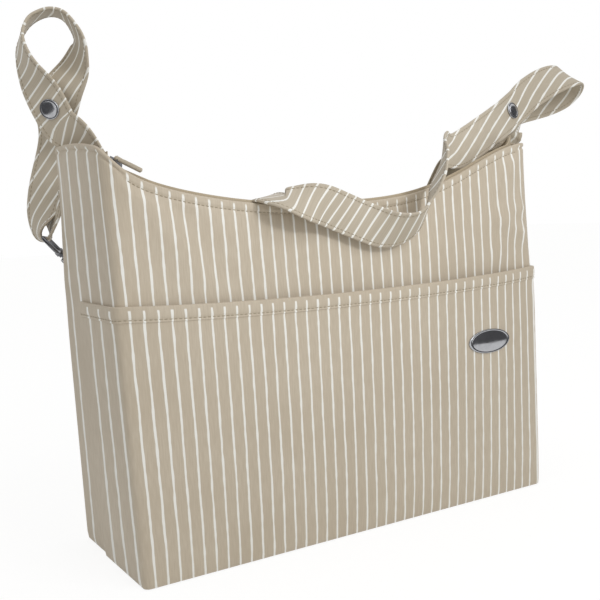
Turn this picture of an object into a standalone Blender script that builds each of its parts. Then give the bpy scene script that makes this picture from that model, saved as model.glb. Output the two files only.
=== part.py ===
"""A striped stroller bag, built from its sewn panels, strap, snaps and hooks.

The bag stands on its base with its front towards -Y and +Z up. The origin is the centre of
the base, on the floor. All lengths are metres.
"""
import math

import bmesh
import bpy
from mathutils import Matrix, Vector

MM = 0.001

# Bag body
TOP_WIDTH = 380 * MM
BASE_WIDTH = 364 * MM
TOP_DEPTH = 110 * MM
BASE_DEPTH = 126 * MM
FRONT_CORNER_HEIGHT = 296 * MM
BACK_CORNER_HEIGHT = 302 * MM
RIM_LOW_HEIGHT = 251.5 * MM
RIM_LOW_X = -30 * MM
RIM_LEFT_SLOPE_SHARE = 0.63
RIM_LEFT_POWERS = (2, 12)
RIM_RIGHT_POWER = 1.7
GUSSET_CROWN = 4 * MM
WALL = 2.4 * MM
PANEL_BULGE = 3 * MM
SEAM_GAP = 0.3 * MM
SEAM_LIFT = 0.6 * MM
END_CROWDING = 0.75

# Base
BASE_PANEL_THICKNESS = 2.4 * MM
BOARD_THICKNESS = 2 * MM
BOARD_MARGIN = 4 * MM
BOARD_CORNER = 8 * MM

# Lining
LINING_THICKNESS = 1 * MM
LINING_CORNER = 5 * MM
LINING_DROP = 0.9 * MM
LINING_CORNER_DROP = 9 * MM

# Front pocket with its folded hem
POCKET_HEIGHT = 190.5 * MM
POCKET_SAG = 5 * MM
POCKET_EASE = 5.2 * MM
POCKET_CLOTH = 1.4 * MM
HEM_HEIGHT = 11 * MM
HEM_EXTRA = 0.9 * MM
POCKET_SIDE_REACH = 78 * MM

# Zip
TAPE_THICKNESS = 0.8 * MM
TAPE_HEIGHT = 9 * MM
TAPE_STAND = 2 * MM
COIL_WIDTH = 2 * MM
COIL_HEIGHT = 2.2 * MM
TAPE_END_INSET = 16 * MM
ARCH_RISE = 9 * MM
SLIDER_LENGTH = 9 * MM
SLIDER_WIDTH = 7.5 * MM
SLIDER_HEIGHT = 4.4 * MM
SLIDER_PLATE = 1.1 * MM
SLIDER_NECK = 2.6 * MM
SLIDER_TILT = 50
BAIL_WIRE = 0.7 * MM
BAIL_RISE = 3.2 * MM
BAIL_LENGTH = 6 * MM
PULLER_LENGTH = 21 * MM
PULLER_RADIUS = 1.7 * MM
PULLER_HOLE = 1.1 * MM
END_TAB_LENGTH = 14 * MM
END_TAB_WIDTH = 12 * MM
END_TAB_THICKNESS = 1.6 * MM

# Strap
STRAP_WIDTH = 30 * MM
STRAP_THICKNESS = 2.2 * MM
STRAP_STEP = 6 * MM
STRAP_TURN = 4.2 * MM

# Snap fasteners
SNAP_RADIUS = 7.5 * MM
SNAP_DOME = 2.4 * MM
SOCKET_RADIUS = 6 * MM
SOCKET_HEIGHT = 2.8 * MM
SOCKET_BORE = 3 * MM
STUD_FLANGE_RADIUS = 5.5 * MM
STUD_FLANGE = 0.8 * MM
STUD_RADIUS = 2.5 * MM
STUD_HEIGHT = 1.8 * MM
POST_RADIUS = 5.8 * MM
POST_THICKNESS = 1 * MM
RIVET_RADIUS = 2 * MM
RIVET_CLEARANCE = 0.4 * MM

# Ring tabs, rings and swivel hooks
HOOK_BAR_HEIGHT = 236 * MM
HOOK_BAR_STAND_OUT = 4.62 * MM
HOOK_BAR_REACH = 21 * MM
HOOK_PULL = Vector((0.59, -0.27, -0.76)).normalized()
BAR_AIM = Vector((0.35, 0.94, 0.0))
EYE_WIRE = 1.5 * MM
EYE_SIDE_CLEARANCE = 0.8 * MM
EYE_LENGTH = 15 * MM
EYE_CORNER = 3 * MM
BOSS_RADIUS = 3.4 * MM
BOSS_HEIGHT = 3.4 * MM
SHANK_RADIUS = 1.6 * MM
SHANK_CLEARANCE = 0.3 * MM
HEAD_RADIUS = 2.8 * MM
HEAD_THICKNESS = 1.4 * MM
COLLAR_RADIUS = 2.6 * MM
COLLAR_THICKNESS = 1.4 * MM
HOOK_WIRE = 1.9 * MM
BOW_RADIUS = 7 * MM
BOW_DROP = 13 * MM
BOW_TIP_TURN = 248
GATE_PIVOT_X = 5 * MM
GATE_PIVOT_DROP = 0.6 * MM
GATE_KNUCKLE = 1.5 * MM
GATE_WIRE = 1.15 * MM
GATE_HALF_WIDTH = 1.2 * MM
GATE_LENGTH = 8 * MM
LUG_RADIUS = 1.9 * MM
LUG_HALF_WIDTH = 2.6 * MM
PIN_RADIUS = 0.7 * MM
PIN_CLEARANCE = 0.3 * MM
RING_WIRE = 1.5 * MM
RING_WIDTH = 20 * MM
RING_HEIGHT = 14 * MM
TAB_WIDTH = 18 * MM
TAB_NARROWING = 0.8
TAB_THICKNESS = 1.4 * MM
TAB_LENGTH = 26 * MM

# Badge
BADGE_WIDTH = 46 * MM
BADGE_HEIGHT = 20 * MM
BADGE_EDGE = 1.2 * MM
BADGE_DOME = 1.6 * MM
BADGE_X = 125.5 * MM
BADGE_Z = 133 * MM

X_AXIS = Vector((1, 0, 0))
Y_AXIS = Vector((0, 1, 0))
Z_AXIS = Vector((0, 0, 1))


# Scene, materials and small mesh helpers

def clear_scene():
    """Remove every object that the start-up file brings."""
    for item in list(bpy.data.objects):
        bpy.data.objects.remove(item, do_unlink=True)


def new_collection(name):
    """A collection of the scene, made once."""
    collection = bpy.data.collections.new(name)
    bpy.context.scene.collection.children.link(collection)
    return collection


def material(name, colour, roughness, metallic=0.0):
    """A Principled material in a linear colour."""
    made = bpy.data.materials.new(name)
    made.use_nodes = True
    shader = made.node_tree.nodes["Principled BSDF"]
    shader.inputs["Base Color"].default_value = (*colour, 1.0)
    shader.inputs["Roughness"].default_value = roughness
    shader.inputs["Metallic"].default_value = metallic
    return made


def add_object(name, mesh, collection, finish=None, matrix=None):
    """Link a mesh as one named object."""
    item = bpy.data.objects.new(name, mesh)
    if finish is not None:
        mesh.materials.append(finish)
    if matrix is not None:
        item.matrix_world = matrix
    collection.objects.link(item)
    return item


def mesh_from_bmesh(name, source, smooth_angle=40):
    """Close off a bmesh as a mesh with its faces pointing out."""
    bmesh.ops.recalc_face_normals(source, faces=source.faces)
    mesh = bpy.data.meshes.new(name)
    source.to_mesh(mesh)
    source.free()
    mesh.shade_smooth()
    mesh.set_sharp_from_angle(angle=math.radians(smooth_angle))
    return mesh


def loft(name, rings, cyclic=False):
    """A closed solid through a row of unlike rings of the same number of points."""
    source = bmesh.new()
    rows = [[source.verts.new(point) for point in ring] for ring in rings]
    count = len(rows[0])
    pairs = list(zip(rows, rows[1:]))
    if cyclic:
        pairs.append((rows[-1], rows[0]))
    for lower, upper in pairs:
        for index in range(count):
            following = (index + 1) % count
            source.faces.new((lower[index], lower[following], upper[following], upper[index]))
    if not cyclic:
        source.faces.new(rows[0])
        source.faces.new(rows[-1])
    return mesh_from_bmesh(name, source)


def surface_grid(name, columns, rows, place):
    """An open sheet: a flat grid whose points are moved by place(u, v)."""
    source = bmesh.new()
    bmesh.ops.create_grid(source, x_segments=columns, y_segments=rows, size=1.0)
    for vertex in source.verts:
        vertex.co = place((vertex.co.x + 1) / 2, (vertex.co.y + 1) / 2)
    mesh = bpy.data.meshes.new(name)
    source.to_mesh(mesh)
    source.free()
    mesh.shade_smooth()
    return mesh


def thicken(item, thickness, offset=-1.0):
    """Give a sheet its wall."""
    wall = item.modifiers.new("Wall", "SOLIDIFY")
    wall.thickness = thickness
    wall.offset = offset
    return wall


def round_edges(item, width, segments=2, angle=40):
    """Round the edges of a solid."""
    bevel = item.modifiers.new("Rounded", "BEVEL")
    bevel.width = width
    bevel.segments = segments
    bevel.limit_method = "ANGLE"
    bevel.angle_limit = math.radians(angle)
    return bevel


def turned(name, profile, collection, finish, matrix, steps=16):
    """A turned piece: a profile of (radius, height) points about the local Z axis."""
    source = bmesh.new()
    closed = profile[0] == profile[-1]
    verts = [source.verts.new((radius, 0, height)) for radius, height in profile[closed:]]
    ends = verts[1:] + verts[:1] if closed else verts[1:]
    for start, end in zip(verts, ends):
        source.edges.new((start, end))
    mesh = bpy.data.meshes.new(name)
    source.to_mesh(mesh)
    source.free()
    item = add_object(name, mesh, collection, finish, matrix)
    screw = item.modifiers.new("Turned", "SCREW")
    screw.axis = "Z"
    screw.steps = steps
    screw.render_steps = steps
    screw.use_merge_vertices = True
    screw.merge_threshold = 0.00001
    return item


def wire_mesh(name, points, radius, cyclic=False, resolution=2):
    """A round wire along points, as a welded closed mesh."""
    curve = bpy.data.curves.new(name + "_route", "CURVE")
    curve.dimensions = "3D"
    curve.bevel_depth = radius
    curve.bevel_resolution = resolution
    curve.use_fill_caps = True
    curve.twist_mode = "MINIMUM"
    spline = curve.splines.new("POLY")
    spline.points.add(len(points) - 1)
    for target, point in zip(spline.points, points):
        target.co = (*point, 1.0)
    spline.use_cyclic_u = cyclic
    holder = bpy.data.objects.new(name + "_route", curve)
    bpy.context.scene.collection.objects.link(holder)
    bpy.context.view_layer.update()
    evaluated = holder.evaluated_get(bpy.context.evaluated_depsgraph_get())
    mesh = bpy.data.meshes.new_from_object(evaluated)
    bpy.data.objects.remove(holder, do_unlink=True)
    bpy.data.curves.remove(curve)
    source = bmesh.new()
    source.from_mesh(mesh)
    bpy.data.meshes.remove(mesh)
    bmesh.ops.remove_doubles(source, verts=source.verts, dist=0.000001)
    return mesh_from_bmesh(name, source)


def cylinder_mesh(name, radius, length, axis="Z", segments=16):
    """A cylinder about its own centre, along one axis."""
    source = bmesh.new()
    turn = {
        "X": Matrix.Rotation(math.pi / 2, 4, "Y"),
        "Y": Matrix.Rotation(math.pi / 2, 4, "X"),
        "Z": Matrix.Identity(4),
    }[axis]
    bmesh.ops.create_cone(source, cap_ends=True, segments=segments, radius1=radius,
                          radius2=radius, depth=length, matrix=turn)
    return mesh_from_bmesh(name, source)


def box_mesh(name, size, centre=(0, 0, 0)):
    """A box of the given size about a centre."""
    source = bmesh.new()
    bmesh.ops.create_cube(source, size=1.0)
    bmesh.ops.scale(source, vec=size, verts=source.verts)
    bmesh.ops.translate(source, vec=centre, verts=source.verts)
    return mesh_from_bmesh(name, source)


def cutter(name, mesh, matrix=None):
    """An object that only cuts or joins others."""
    item = add_object(name, mesh, CUTTERS, None, matrix)
    item.hide_render = True
    item.display_type = "WIRE"
    return item


def combine(item, tool, operation):
    """Join, cut or trim an object with another by an exact Boolean."""
    step = item.modifiers.new(operation.title(), "BOOLEAN")
    step.object = tool
    step.operation = operation
    step.solver = "EXACT"
    return step


# Outline of the body

def blend(low, high, share):
    """A value between two others."""
    return low + (high - low) * share


def half_width(z):
    """Half the body's width at a height."""
    return blend(BASE_WIDTH, TOP_WIDTH, z / FRONT_CORNER_HEIGHT) / 2


def half_depth(z):
    """Half the body's depth at a height."""
    return blend(BASE_DEPTH, TOP_DEPTH, z / FRONT_CORNER_HEIGHT) / 2


def rim_height(x, corner_height):
    """Height of a front or back panel's upper edge, low in the middle."""
    left = x < RIM_LOW_X
    reach = TOP_WIDTH / 2 + (RIM_LOW_X if left else -RIM_LOW_X)
    share = min(abs(x - RIM_LOW_X) / reach, 1.0)
    if left:
        slope, hook = RIM_LEFT_POWERS
        rise = blend(share ** hook, share ** slope, RIM_LEFT_SLOPE_SHARE)
    else:
        rise = (1 - math.cos(math.pi * share ** RIM_RIGHT_POWER)) / 2
    return RIM_LOW_HEIGHT + (corner_height - RIM_LOW_HEIGHT) * rise


def crowded(share):
    """A share of a panel's width, from -1 to 1, with its steps closer by both ends."""
    return blend(share, math.sin(share * math.pi / 2), END_CROWDING)


def panel_bulge(across, up):
    """How far a big panel swells out; across runs from -1 to 1 and up from 0 to 1."""
    return PANEL_BULGE * (1 - across ** 4) * math.sin(math.pi * min(up, 1.0)) ** 0.8


def face_depth(x, z, corner_height):
    """Distance of a big panel's outer face from the middle plane of the bag."""
    across = max(-1.0, min(x / half_width(z), 1.0))
    top = rim_height(across * TOP_WIDTH / 2, corner_height)
    up = (z - SEAM_LIFT) / (top - SEAM_LIFT)
    return half_depth(z) + panel_bulge(across, max(0.0, up))


def inner_half_width(z):
    """Half the width between the linings' sides of the gussets."""
    return half_width(z) - WALL - SEAM_GAP


def inner_half_depth(z):
    """Half the depth between the inner faces of the front and back panels."""
    return half_depth(z) - WALL - SEAM_GAP


# Sewn panels

def build_face_panel(name, side, corner_height, finish):
    """The front (side -1) or back (side 1) panel with its concave upper edge."""
    def place(u, v):
        across = crowded(2 * u - 1)
        x = across * TOP_WIDTH / 2
        top = rim_height(x, corner_height)
        z = blend(SEAM_LIFT, top, v)
        x = across * half_width(z)
        return Vector((x, side * (half_depth(z) + panel_bulge(across, v)), z))

    def mirrored(u, v):
        return place(1 - u, v)

    item = add_object(name, surface_grid(name, 26, 9, place if side < 0 else mirrored),
                      PARTS, finish)
    thicken(item, WALL)
    return item


def build_gusset(name, side, finish):
    """A side panel between the front and back panels, with its own hemmed top."""
    def place(u, v):
        share = 2 * u - 1
        top = blend(FRONT_CORNER_HEIGHT, BACK_CORNER_HEIGHT, u)
        top += GUSSET_CROWN * (1 - share * share) * 0.5
        z = blend(SEAM_LIFT, top, v)
        return Vector((side * half_width(z), share * inner_half_depth(z), z))

    def mirrored(u, v):
        return place(1 - u, v)

    item = add_object(name, surface_grid(name, 8, 10, place if side > 0 else mirrored),
                      PARTS, finish)
    thicken(item, WALL)
    return item


def rounded_rectangle(half_x, half_y, radius, z, steps=4):
    """Points of a rectangle with round corners, run anticlockwise."""
    points = []
    for corner_x, corner_y, start in ((1, 1, 0), (-1, 1, 90), (-1, -1, 180), (1, -1, 270)):
        for step in range(steps + 1):
            angle = math.radians(start + 90 * step / steps)
            x = corner_x * (half_x - radius) + radius * math.cos(angle)
            y = corner_y * (half_y - radius) + radius * math.sin(angle)
            points.append(Vector((x, y, z)))
    return points


def build_base(panel_finish, board_finish):
    """The base panel and the stiff board that lies on it."""
    half_x = inner_half_width(0)
    half_y = inner_half_depth(0)
    panel = loft("base_panel", [
        rounded_rectangle(half_x, half_y, LINING_CORNER, 0),
        rounded_rectangle(half_x, half_y, LINING_CORNER, BASE_PANEL_THICKNESS),
    ])
    add_object("base_panel", panel, PARTS, panel_finish)
    low = BASE_PANEL_THICKNESS + SEAM_GAP
    board = loft("base_board", [
        rounded_rectangle(half_x - BOARD_MARGIN, half_y - BOARD_MARGIN, BOARD_CORNER, height)
        for height in (low, low + BOARD_THICKNESS)
    ])
    add_object("base_board", board, PARTS, board_finish)


def lining_floor():
    """Height of the lining's underside."""
    return BASE_PANEL_THICKNESS + BOARD_THICKNESS + 2 * SEAM_GAP


def tape_foot(x, corner_height):
    """Height of a zip tape's lower edge, where the lining ends."""
    return rim_height(x, corner_height) + TAPE_STAND - TAPE_HEIGHT


def lining_outline():
    """Points round the lining in unit width and depth: even steps with cut corners."""
    long_steps = 28
    short_steps = 6
    long_reach = 1 - LINING_CORNER / (TOP_WIDTH / 2)
    short_reach = 1 - LINING_CORNER / (TOP_DEPTH / 2)
    across = [-long_reach * crowded(2 * step / long_steps - 1) for step in range(long_steps + 1)]
    along = [blend(short_reach, -short_reach, step / short_steps)
             for step in range(short_steps + 1)]
    return ([(x, 1.0) for x in across] + [(-1.0, y) for y in along]
            + [(-x, -1.0) for x in across] + [(1.0, -y) for y in along])


def corner_share(unit_x):
    """How far a place on the lining has come from the straight rim into the corner."""
    turn = 1 - 3 * TAPE_END_INSET / (TOP_WIDTH / 2)
    return max(0.0, min((abs(unit_x) - turn) / (TAPE_END_INSET / (TOP_WIDTH / 2)), 1.0))


def build_lining(finish):
    """The open inner bag: one sheet folded up from its floor."""
    levels = 5
    source = bmesh.new()
    rows = []
    for level in range(levels + 1):
        row = []
        for unit_x, unit_y in lining_outline():
            corner = blend(FRONT_CORNER_HEIGHT, BACK_CORNER_HEIGHT, (unit_y + 1) / 2)
            top = tape_foot(unit_x * inner_half_width(FRONT_CORNER_HEIGHT), corner)
            top -= LINING_DROP + LINING_CORNER_DROP * corner_share(unit_x)
            z = blend(lining_floor(), top, level / levels)
            row.append(source.verts.new((unit_x * inner_half_width(z),
                                         unit_y * inner_half_depth(z), z)))
        rows.append(row)
    count = len(rows[0])
    for lower, upper in zip(rows, rows[1:]):
        for index in range(count):
            following = (index + 1) % count
            source.faces.new((lower[index], lower[following], upper[following], upper[index]))
    source.faces.new(list(reversed(rows[0])))
    bmesh.ops.recalc_face_normals(source, faces=source.faces)
    mesh = bpy.data.meshes.new("lining")
    source.to_mesh(mesh)
    source.free()
    item = add_object("lining", mesh, PARTS, finish)
    thicken(item, LINING_THICKNESS)


# Front pocket

def pocket_top(across):
    """Height of the pocket's mouth, a little lower in the middle."""
    return POCKET_HEIGHT - POCKET_SAG * (1 - across * across)


def pocket_station(kind, value, offset, z):
    """A point at an offset from the body's outline, at one station of the wrap."""
    wide = half_width(z)
    deep = half_depth(z)
    if kind == "front":
        return Vector((value * wide, -face_depth(value * wide, z, FRONT_CORNER_HEIGHT) - offset,
                       z))
    if kind == "side":
        side, reach = value
        return Vector((side * (wide + offset), -deep + reach, z))
    side, turn = value
    angle = math.radians(turn)
    return Vector((side * (wide + offset * math.cos(angle)), -deep - offset * math.sin(angle), z))


def build_pocket(finish):
    """The pocket: one cloth wrapped over the front and both sides, with its folded hem."""
    side_steps = [POCKET_SIDE_REACH * (1 - step / 4) for step in range(4)]
    corner_turns = (0, 30, 60, 90)
    front_steps = 22
    stations = [("side", (-1, reach), 1.0) for reach in side_steps]
    stations += [("corner", (-1, turn), 1.0) for turn in corner_turns]
    for step in range(1, front_steps):
        across = blend(-1, 1, step / front_steps)
        stations.append(("front", across, across))
    stations += [("corner", (1, turn), 1.0) for turn in reversed(corner_turns)]
    stations += [("side", (1, reach), 1.0) for reach in reversed(side_steps)]
    rings = []
    for kind, value, across in stations:
        top = pocket_top(across)
        hem = top - HEM_HEIGHT
        slack = POCKET_EASE * (1 - across ** 6)
        levels = [blend(SEAM_LIFT, hem, step / 5) for step in range(6)]
        ring = []
        for z in levels + [top]:
            ring.append(pocket_station(kind, value, SEAM_GAP + slack * z / top, z))
        hem_cloth = POCKET_CLOTH + HEM_EXTRA
        for z, cloth in ((top, hem_cloth), (hem, hem_cloth)):
            ring.append(pocket_station(kind, value, SEAM_GAP + slack * z / top + cloth, z))
        for z in reversed([level - HEM_EXTRA * (level > SEAM_LIFT) for level in levels]):
            ring.append(pocket_station(kind, value,
                                       SEAM_GAP + slack * z / top + POCKET_CLOTH, z))
        rings.append(ring)
    add_object("front_pocket", loft("front_pocket", rings), PARTS, finish)


# Zip

def tape_mesh(name, route):
    """A zip tape with its coil: a strip along points of its upper edge and inward normals."""
    section = ((0, -TAPE_HEIGHT), (TAPE_THICKNESS, -TAPE_HEIGHT), (TAPE_THICKNESS, -COIL_HEIGHT),
               (COIL_WIDTH, -COIL_HEIGHT), (COIL_WIDTH, 0), (0, 0))
    rings = [[point + inward * across + Z_AXIS * up for across, up in section]
             for point, inward in route]
    return loft(name, rings)


def rim_stretch(side, corner_height, steps):
    """Upper edge of a tape along a rim, from left to right, with its inward normals."""
    reach = TOP_WIDTH / 2 - 2 * TAPE_END_INSET
    route = []
    for step in range(steps + 1):
        x = blend(-reach, reach, step / steps)
        rim = rim_height(x, corner_height)
        route.append((Vector((x, side * inner_half_depth(rim), rim + TAPE_STAND)),
                      Vector((0, -side, 0))))
    return route


def smooth_route(points, steps):
    """Even points on a Catmull-Rom curve through the given ones."""
    padded = [2 * points[0] - points[1]] + list(points) + [2 * points[-1] - points[-2]]
    route = []
    for index in range(1, len(padded) - 2):
        before, start, end, after = padded[index - 1:index + 3]
        for step in range(steps):
            route.append(catmull(before, start, end, after, step / steps))
    route.append(points[-1].copy())
    return route


def catmull(before, start, end, after, share):
    """A point of the Catmull-Rom curve between start and end."""
    return 0.5 * (2 * start + (end - before) * share
                  + (2 * before - 5 * start + 4 * end - after) * share ** 2
                  + (3 * start - before - 3 * end + after) * share ** 3)


def catmull_slope(before, start, end, after, share):
    """Direction of the Catmull-Rom curve between start and end."""
    return 0.5 * ((end - before)
                  + (2 * before - 5 * start + 4 * end - after) * (2 * share)
                  + (3 * start - before - 3 * end + after) * (3 * share ** 2))


def bridge(points, steps=3):
    """A free stretch of tape through hand-chosen points, with its inward normals."""
    curve = smooth_route(points, steps)
    route = []
    for index, point in enumerate(curve):
        ahead = curve[min(index + 1, len(curve) - 1)] - curve[max(index - 1, 0)]
        inward = Z_AXIS.cross(ahead).normalized()
        if inward.dot(Vector((-point.x, -point.y, 0))) < 0:
            inward.negate()
        route.append((point, inward))
    return route


def end_point(side, inset_x, y, rise):
    """A point of a tape's free end, set from the gusset's inner face and its top."""
    return Vector((side * (inner_half_width(FRONT_CORNER_HEIGHT) - inset_x), y,
                   FRONT_CORNER_HEIGHT + rise))


def slider_frame():
    """Place of the slider: its length runs down along the rim and its top leans forward."""
    slope = Vector((10, 0, -5)).normalized()
    up = Matrix.Rotation(math.radians(SLIDER_TILT), 3, slope) @ slope.cross(Y_AXIS)
    place = end_point(-1, 9.3 * MM, -inner_half_depth(FRONT_CORNER_HEIGHT) + 6 * MM, -13 * MM)
    turn = Matrix((slope, up.cross(slope), up)).transposed().to_4x4()
    return Matrix.Translation(place) @ turn


def build_tapes(finish):
    """The two tapes, open along both rims and joined by the slider and the end tab."""
    front_y = -inner_half_depth(FRONT_CORNER_HEIGHT)
    back_y = inner_half_depth(BACK_CORNER_HEIGHT)
    tab_edge = END_TAB_LENGTH / 2 + SEAM_GAP
    slider = slider_frame()
    front = rim_stretch(-1, FRONT_CORNER_HEIGHT, 30)
    back = rim_stretch(1, BACK_CORNER_HEIGHT, 30)
    mouth = slider @ Vector((SLIDER_LENGTH / 2 + SEAM_GAP, -SLIDER_WIDTH / 4, SLIDER_HEIGHT / 3))
    rear = slider @ Vector((-SLIDER_LENGTH / 2 - COIL_WIDTH, SLIDER_WIDTH + COIL_WIDTH, 0))
    front_start = bridge([mouth, mouth.lerp(front[0][0], 0.5), front[0][0]], 2)[:-1]
    front_end = bridge([
        front[-1][0],
        end_point(1, 19 * MM, front_y + 1.5 * MM, ARCH_RISE * -0.1),
        end_point(1, 10 * MM, front_y + 7 * MM, ARCH_RISE * 0.75),
        end_point(1, 4.5 * MM, front_y + 15 * MM, ARCH_RISE * 0.6),
        end_point(1, 3 * MM, front_y + 26 * MM, 0),
        end_point(1, 2.6 * MM, -tab_edge, -4 * MM),
    ])[1:]
    back_start = bridge([
        rear,
        end_point(-1, 3.5 * MM, rear.y + 12 * MM, -6 * MM),
        end_point(-1, 2 * MM, 0, -5 * MM),
        end_point(-1, 2.5 * MM, back_y - 17 * MM, -5 * MM),
        end_point(-1, 11 * MM, back_y - 3.5 * MM, -8 * MM),
        back[0][0],
    ])[:-1]
    back_end = bridge([
        back[-1][0],
        end_point(1, 11 * MM, back_y - 3.5 * MM, -8 * MM),
        end_point(1, 2.8 * MM, back_y - 17 * MM, -4 * MM),
        end_point(1, 2.6 * MM, tab_edge, -4 * MM),
    ])[1:]
    add_object("front_zip_tape", tape_mesh("front_zip_tape", front_start + front + front_end),
               PARTS, finish)
    add_object("back_zip_tape", tape_mesh("back_zip_tape", back_start + back + back_end),
               PARTS, finish)


def build_end_tab(finish):
    """The folded tab that closes the zip's right end, by the gusset."""
    inset = LINING_THICKNESS + 2 * SEAM_GAP + END_TAB_THICKNESS / 2
    centre = end_point(1, inset, 0, -4 * MM - TAPE_HEIGHT / 2)
    mesh = box_mesh("zip_end_tab", (END_TAB_THICKNESS, END_TAB_LENGTH, END_TAB_WIDTH))
    item = add_object("zip_end_tab", mesh, PARTS, finish, Matrix.Translation(centre))
    round_edges(item, 0.5 * MM)


def build_slider(finish):
    """The slider: two plates on a neck, with the bail that holds the puller."""
    frame = slider_frame()
    plate_z = (SLIDER_HEIGHT - SLIDER_PLATE) / 2
    item = add_object("zip_slider", box_mesh("zip_slider", (SLIDER_LENGTH, SLIDER_WIDTH,
                                                            SLIDER_PLATE), (0, 0, plate_z)),
                      PARTS, finish, frame)
    lower = cutter("slider_lower_plate", box_mesh("slider_lower_plate", (
        SLIDER_LENGTH, SLIDER_WIDTH, SLIDER_PLATE), (0, 0, -plate_z)), frame)
    neck = cutter("slider_neck", box_mesh("slider_neck", (
        SLIDER_LENGTH * 0.7, SLIDER_NECK, SLIDER_HEIGHT - SLIDER_PLATE)), frame)
    top = SLIDER_HEIGHT / 2
    arch = [Vector((bail_shift(), y, z)) for y, z in (
        (-BAIL_LENGTH / 2, top - SLIDER_PLATE / 2), (-BAIL_LENGTH / 2, top + BAIL_RISE * 0.6),
        (-BAIL_LENGTH / 3, top + BAIL_RISE), (BAIL_LENGTH / 3, top + BAIL_RISE),
        (BAIL_LENGTH / 2, top + BAIL_RISE * 0.6), (BAIL_LENGTH / 2, top - SLIDER_PLATE / 2))]
    bail = cutter("slider_bail", wire_mesh("slider_bail", arch, BAIL_WIRE), frame)
    for tool in (lower, neck, bail):
        combine(item, tool, "UNION")


def bail_shift():
    """Place of the bail along the slider, behind its middle."""
    return -SLIDER_LENGTH * 0.12


def puller_pivot():
    """The puller's hinge: the middle of the bail's bar."""
    return slider_frame() @ Vector((bail_shift(), 0, SLIDER_HEIGHT / 2 + BAIL_RISE))


def build_puller(finish):
    """The rolled cloth puller, which hangs from the bail."""
    frame = slider_frame()
    pivot = puller_pivot()
    place = Matrix.Translation(pivot) @ frame.to_3x3().to_4x4()
    start = -PULLER_HOLE - 0.9 * MM
    profile = [(0, PULLER_LENGTH), (PULLER_RADIUS * 0.75, PULLER_LENGTH),
               (PULLER_RADIUS, PULLER_LENGTH - 0.6 * MM), (PULLER_RADIUS, start + 0.5 * MM),
               (PULLER_RADIUS * 0.75, start), (0, start)]
    item = turned("zip_puller", profile, PARTS, finish,
                  place @ Matrix.Rotation(math.pi / 2, 4, "Y"), 12)
    hole = cutter("puller_hole", cylinder_mesh("puller_hole", PULLER_HOLE, 3 * PULLER_RADIUS,
                                               "Y", 12), place)
    combine(item, hole, "DIFFERENCE")


# Strap

def left_top(x, y, z):
    """A point set from the bag's top left, in millimetres."""
    return Vector((-TOP_WIDTH / 2 + x * MM, y * MM, BACK_CORNER_HEIGHT + z * MM))


def right_top(x, y, z):
    """A point set from the bag's top right, in millimetres."""
    return Vector((TOP_WIDTH / 2 + x * MM, y * MM, BACK_CORNER_HEIGHT + z * MM))


def near_bar(side, x, y, z):
    """A place set in millimetres from the middle of a hook's bar."""
    out = half_width(HOOK_BAR_HEIGHT) + HOOK_BAR_STAND_OUT
    bar = Vector((side * out, TOP_DEPTH / 2 + HOOK_BAR_REACH, HOOK_BAR_HEIGHT))
    return bar + Vector((x, y, z)) * MM


def rim_low(x, y, z):
    """A point set from the low middle of the front rim, in millimetres."""
    return Vector((RIM_LOW_X + x * MM, -TOP_DEPTH / 2 + y * MM, RIM_LOW_HEIGHT + z * MM))


class Station:
    """One place on the strap: its centre and the direction across its width."""

    def __init__(self, centre, across):
        self.centre = centre
        self.across = Vector(across).normalized()


def flat_stretch(centre, along, across):
    """Five stations in a line, where the strap lies flat under a snap."""
    along = Vector(along).normalized()
    across = Vector(across)
    across = (across - along * across.dot(along)).normalized()
    reach = SNAP_RADIUS + 0.5 * MM
    ease = reach + STRAP_STEP
    return [Station(centre + along * shift, across)
            for shift in (-ease, -reach, 0, reach, ease)]


def stretch_normal(stretch):
    """Direction the near face of a flat stretch looks in."""
    heading = (stretch[3].centre - stretch[1].centre).normalized()
    return stretch[2].across.cross(heading).normalized()


def snap_stack():
    """Distance between the middles of the two strap layers that a snap holds."""
    return STRAP_THICKNESS + SOCKET_HEIGHT + STUD_FLANGE + 3 * SEAM_GAP


def layer_behind(front, along, slide):
    """The flat stretch behind another, held to it by a snap."""
    normal = stretch_normal(front)
    along = Vector(along)
    along = (along - normal * along.dot(normal)).normalized()
    centre = front[2].centre - normal * snap_stack() + front[2].across * slide
    return flat_stretch(centre, along, normal.cross(along))


def wrap_round_bar(side):
    """Stations of the strap's end where it turns round a hook's bar, tail first."""
    frame = eye_frame(side)
    aim = frame.to_3x3() @ X_AXIS
    level = Vector((aim.y, -aim.x, 0)).normalized() * -side
    rise = STRAP_TURN - STRAP_THICKNESS / 2 - EYE_WIRE - SEAM_GAP
    centre = frame.to_translation() + Z_AXIS * rise
    stations = []
    for turn in (0, -45, -90, -135, -180):
        angle = math.radians(turn)
        offset = (level * math.cos(angle) + Z_AXIS * math.sin(angle)) * STRAP_TURN
        stations.append(Station(centre + offset, aim * -side))
    return stations


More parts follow.
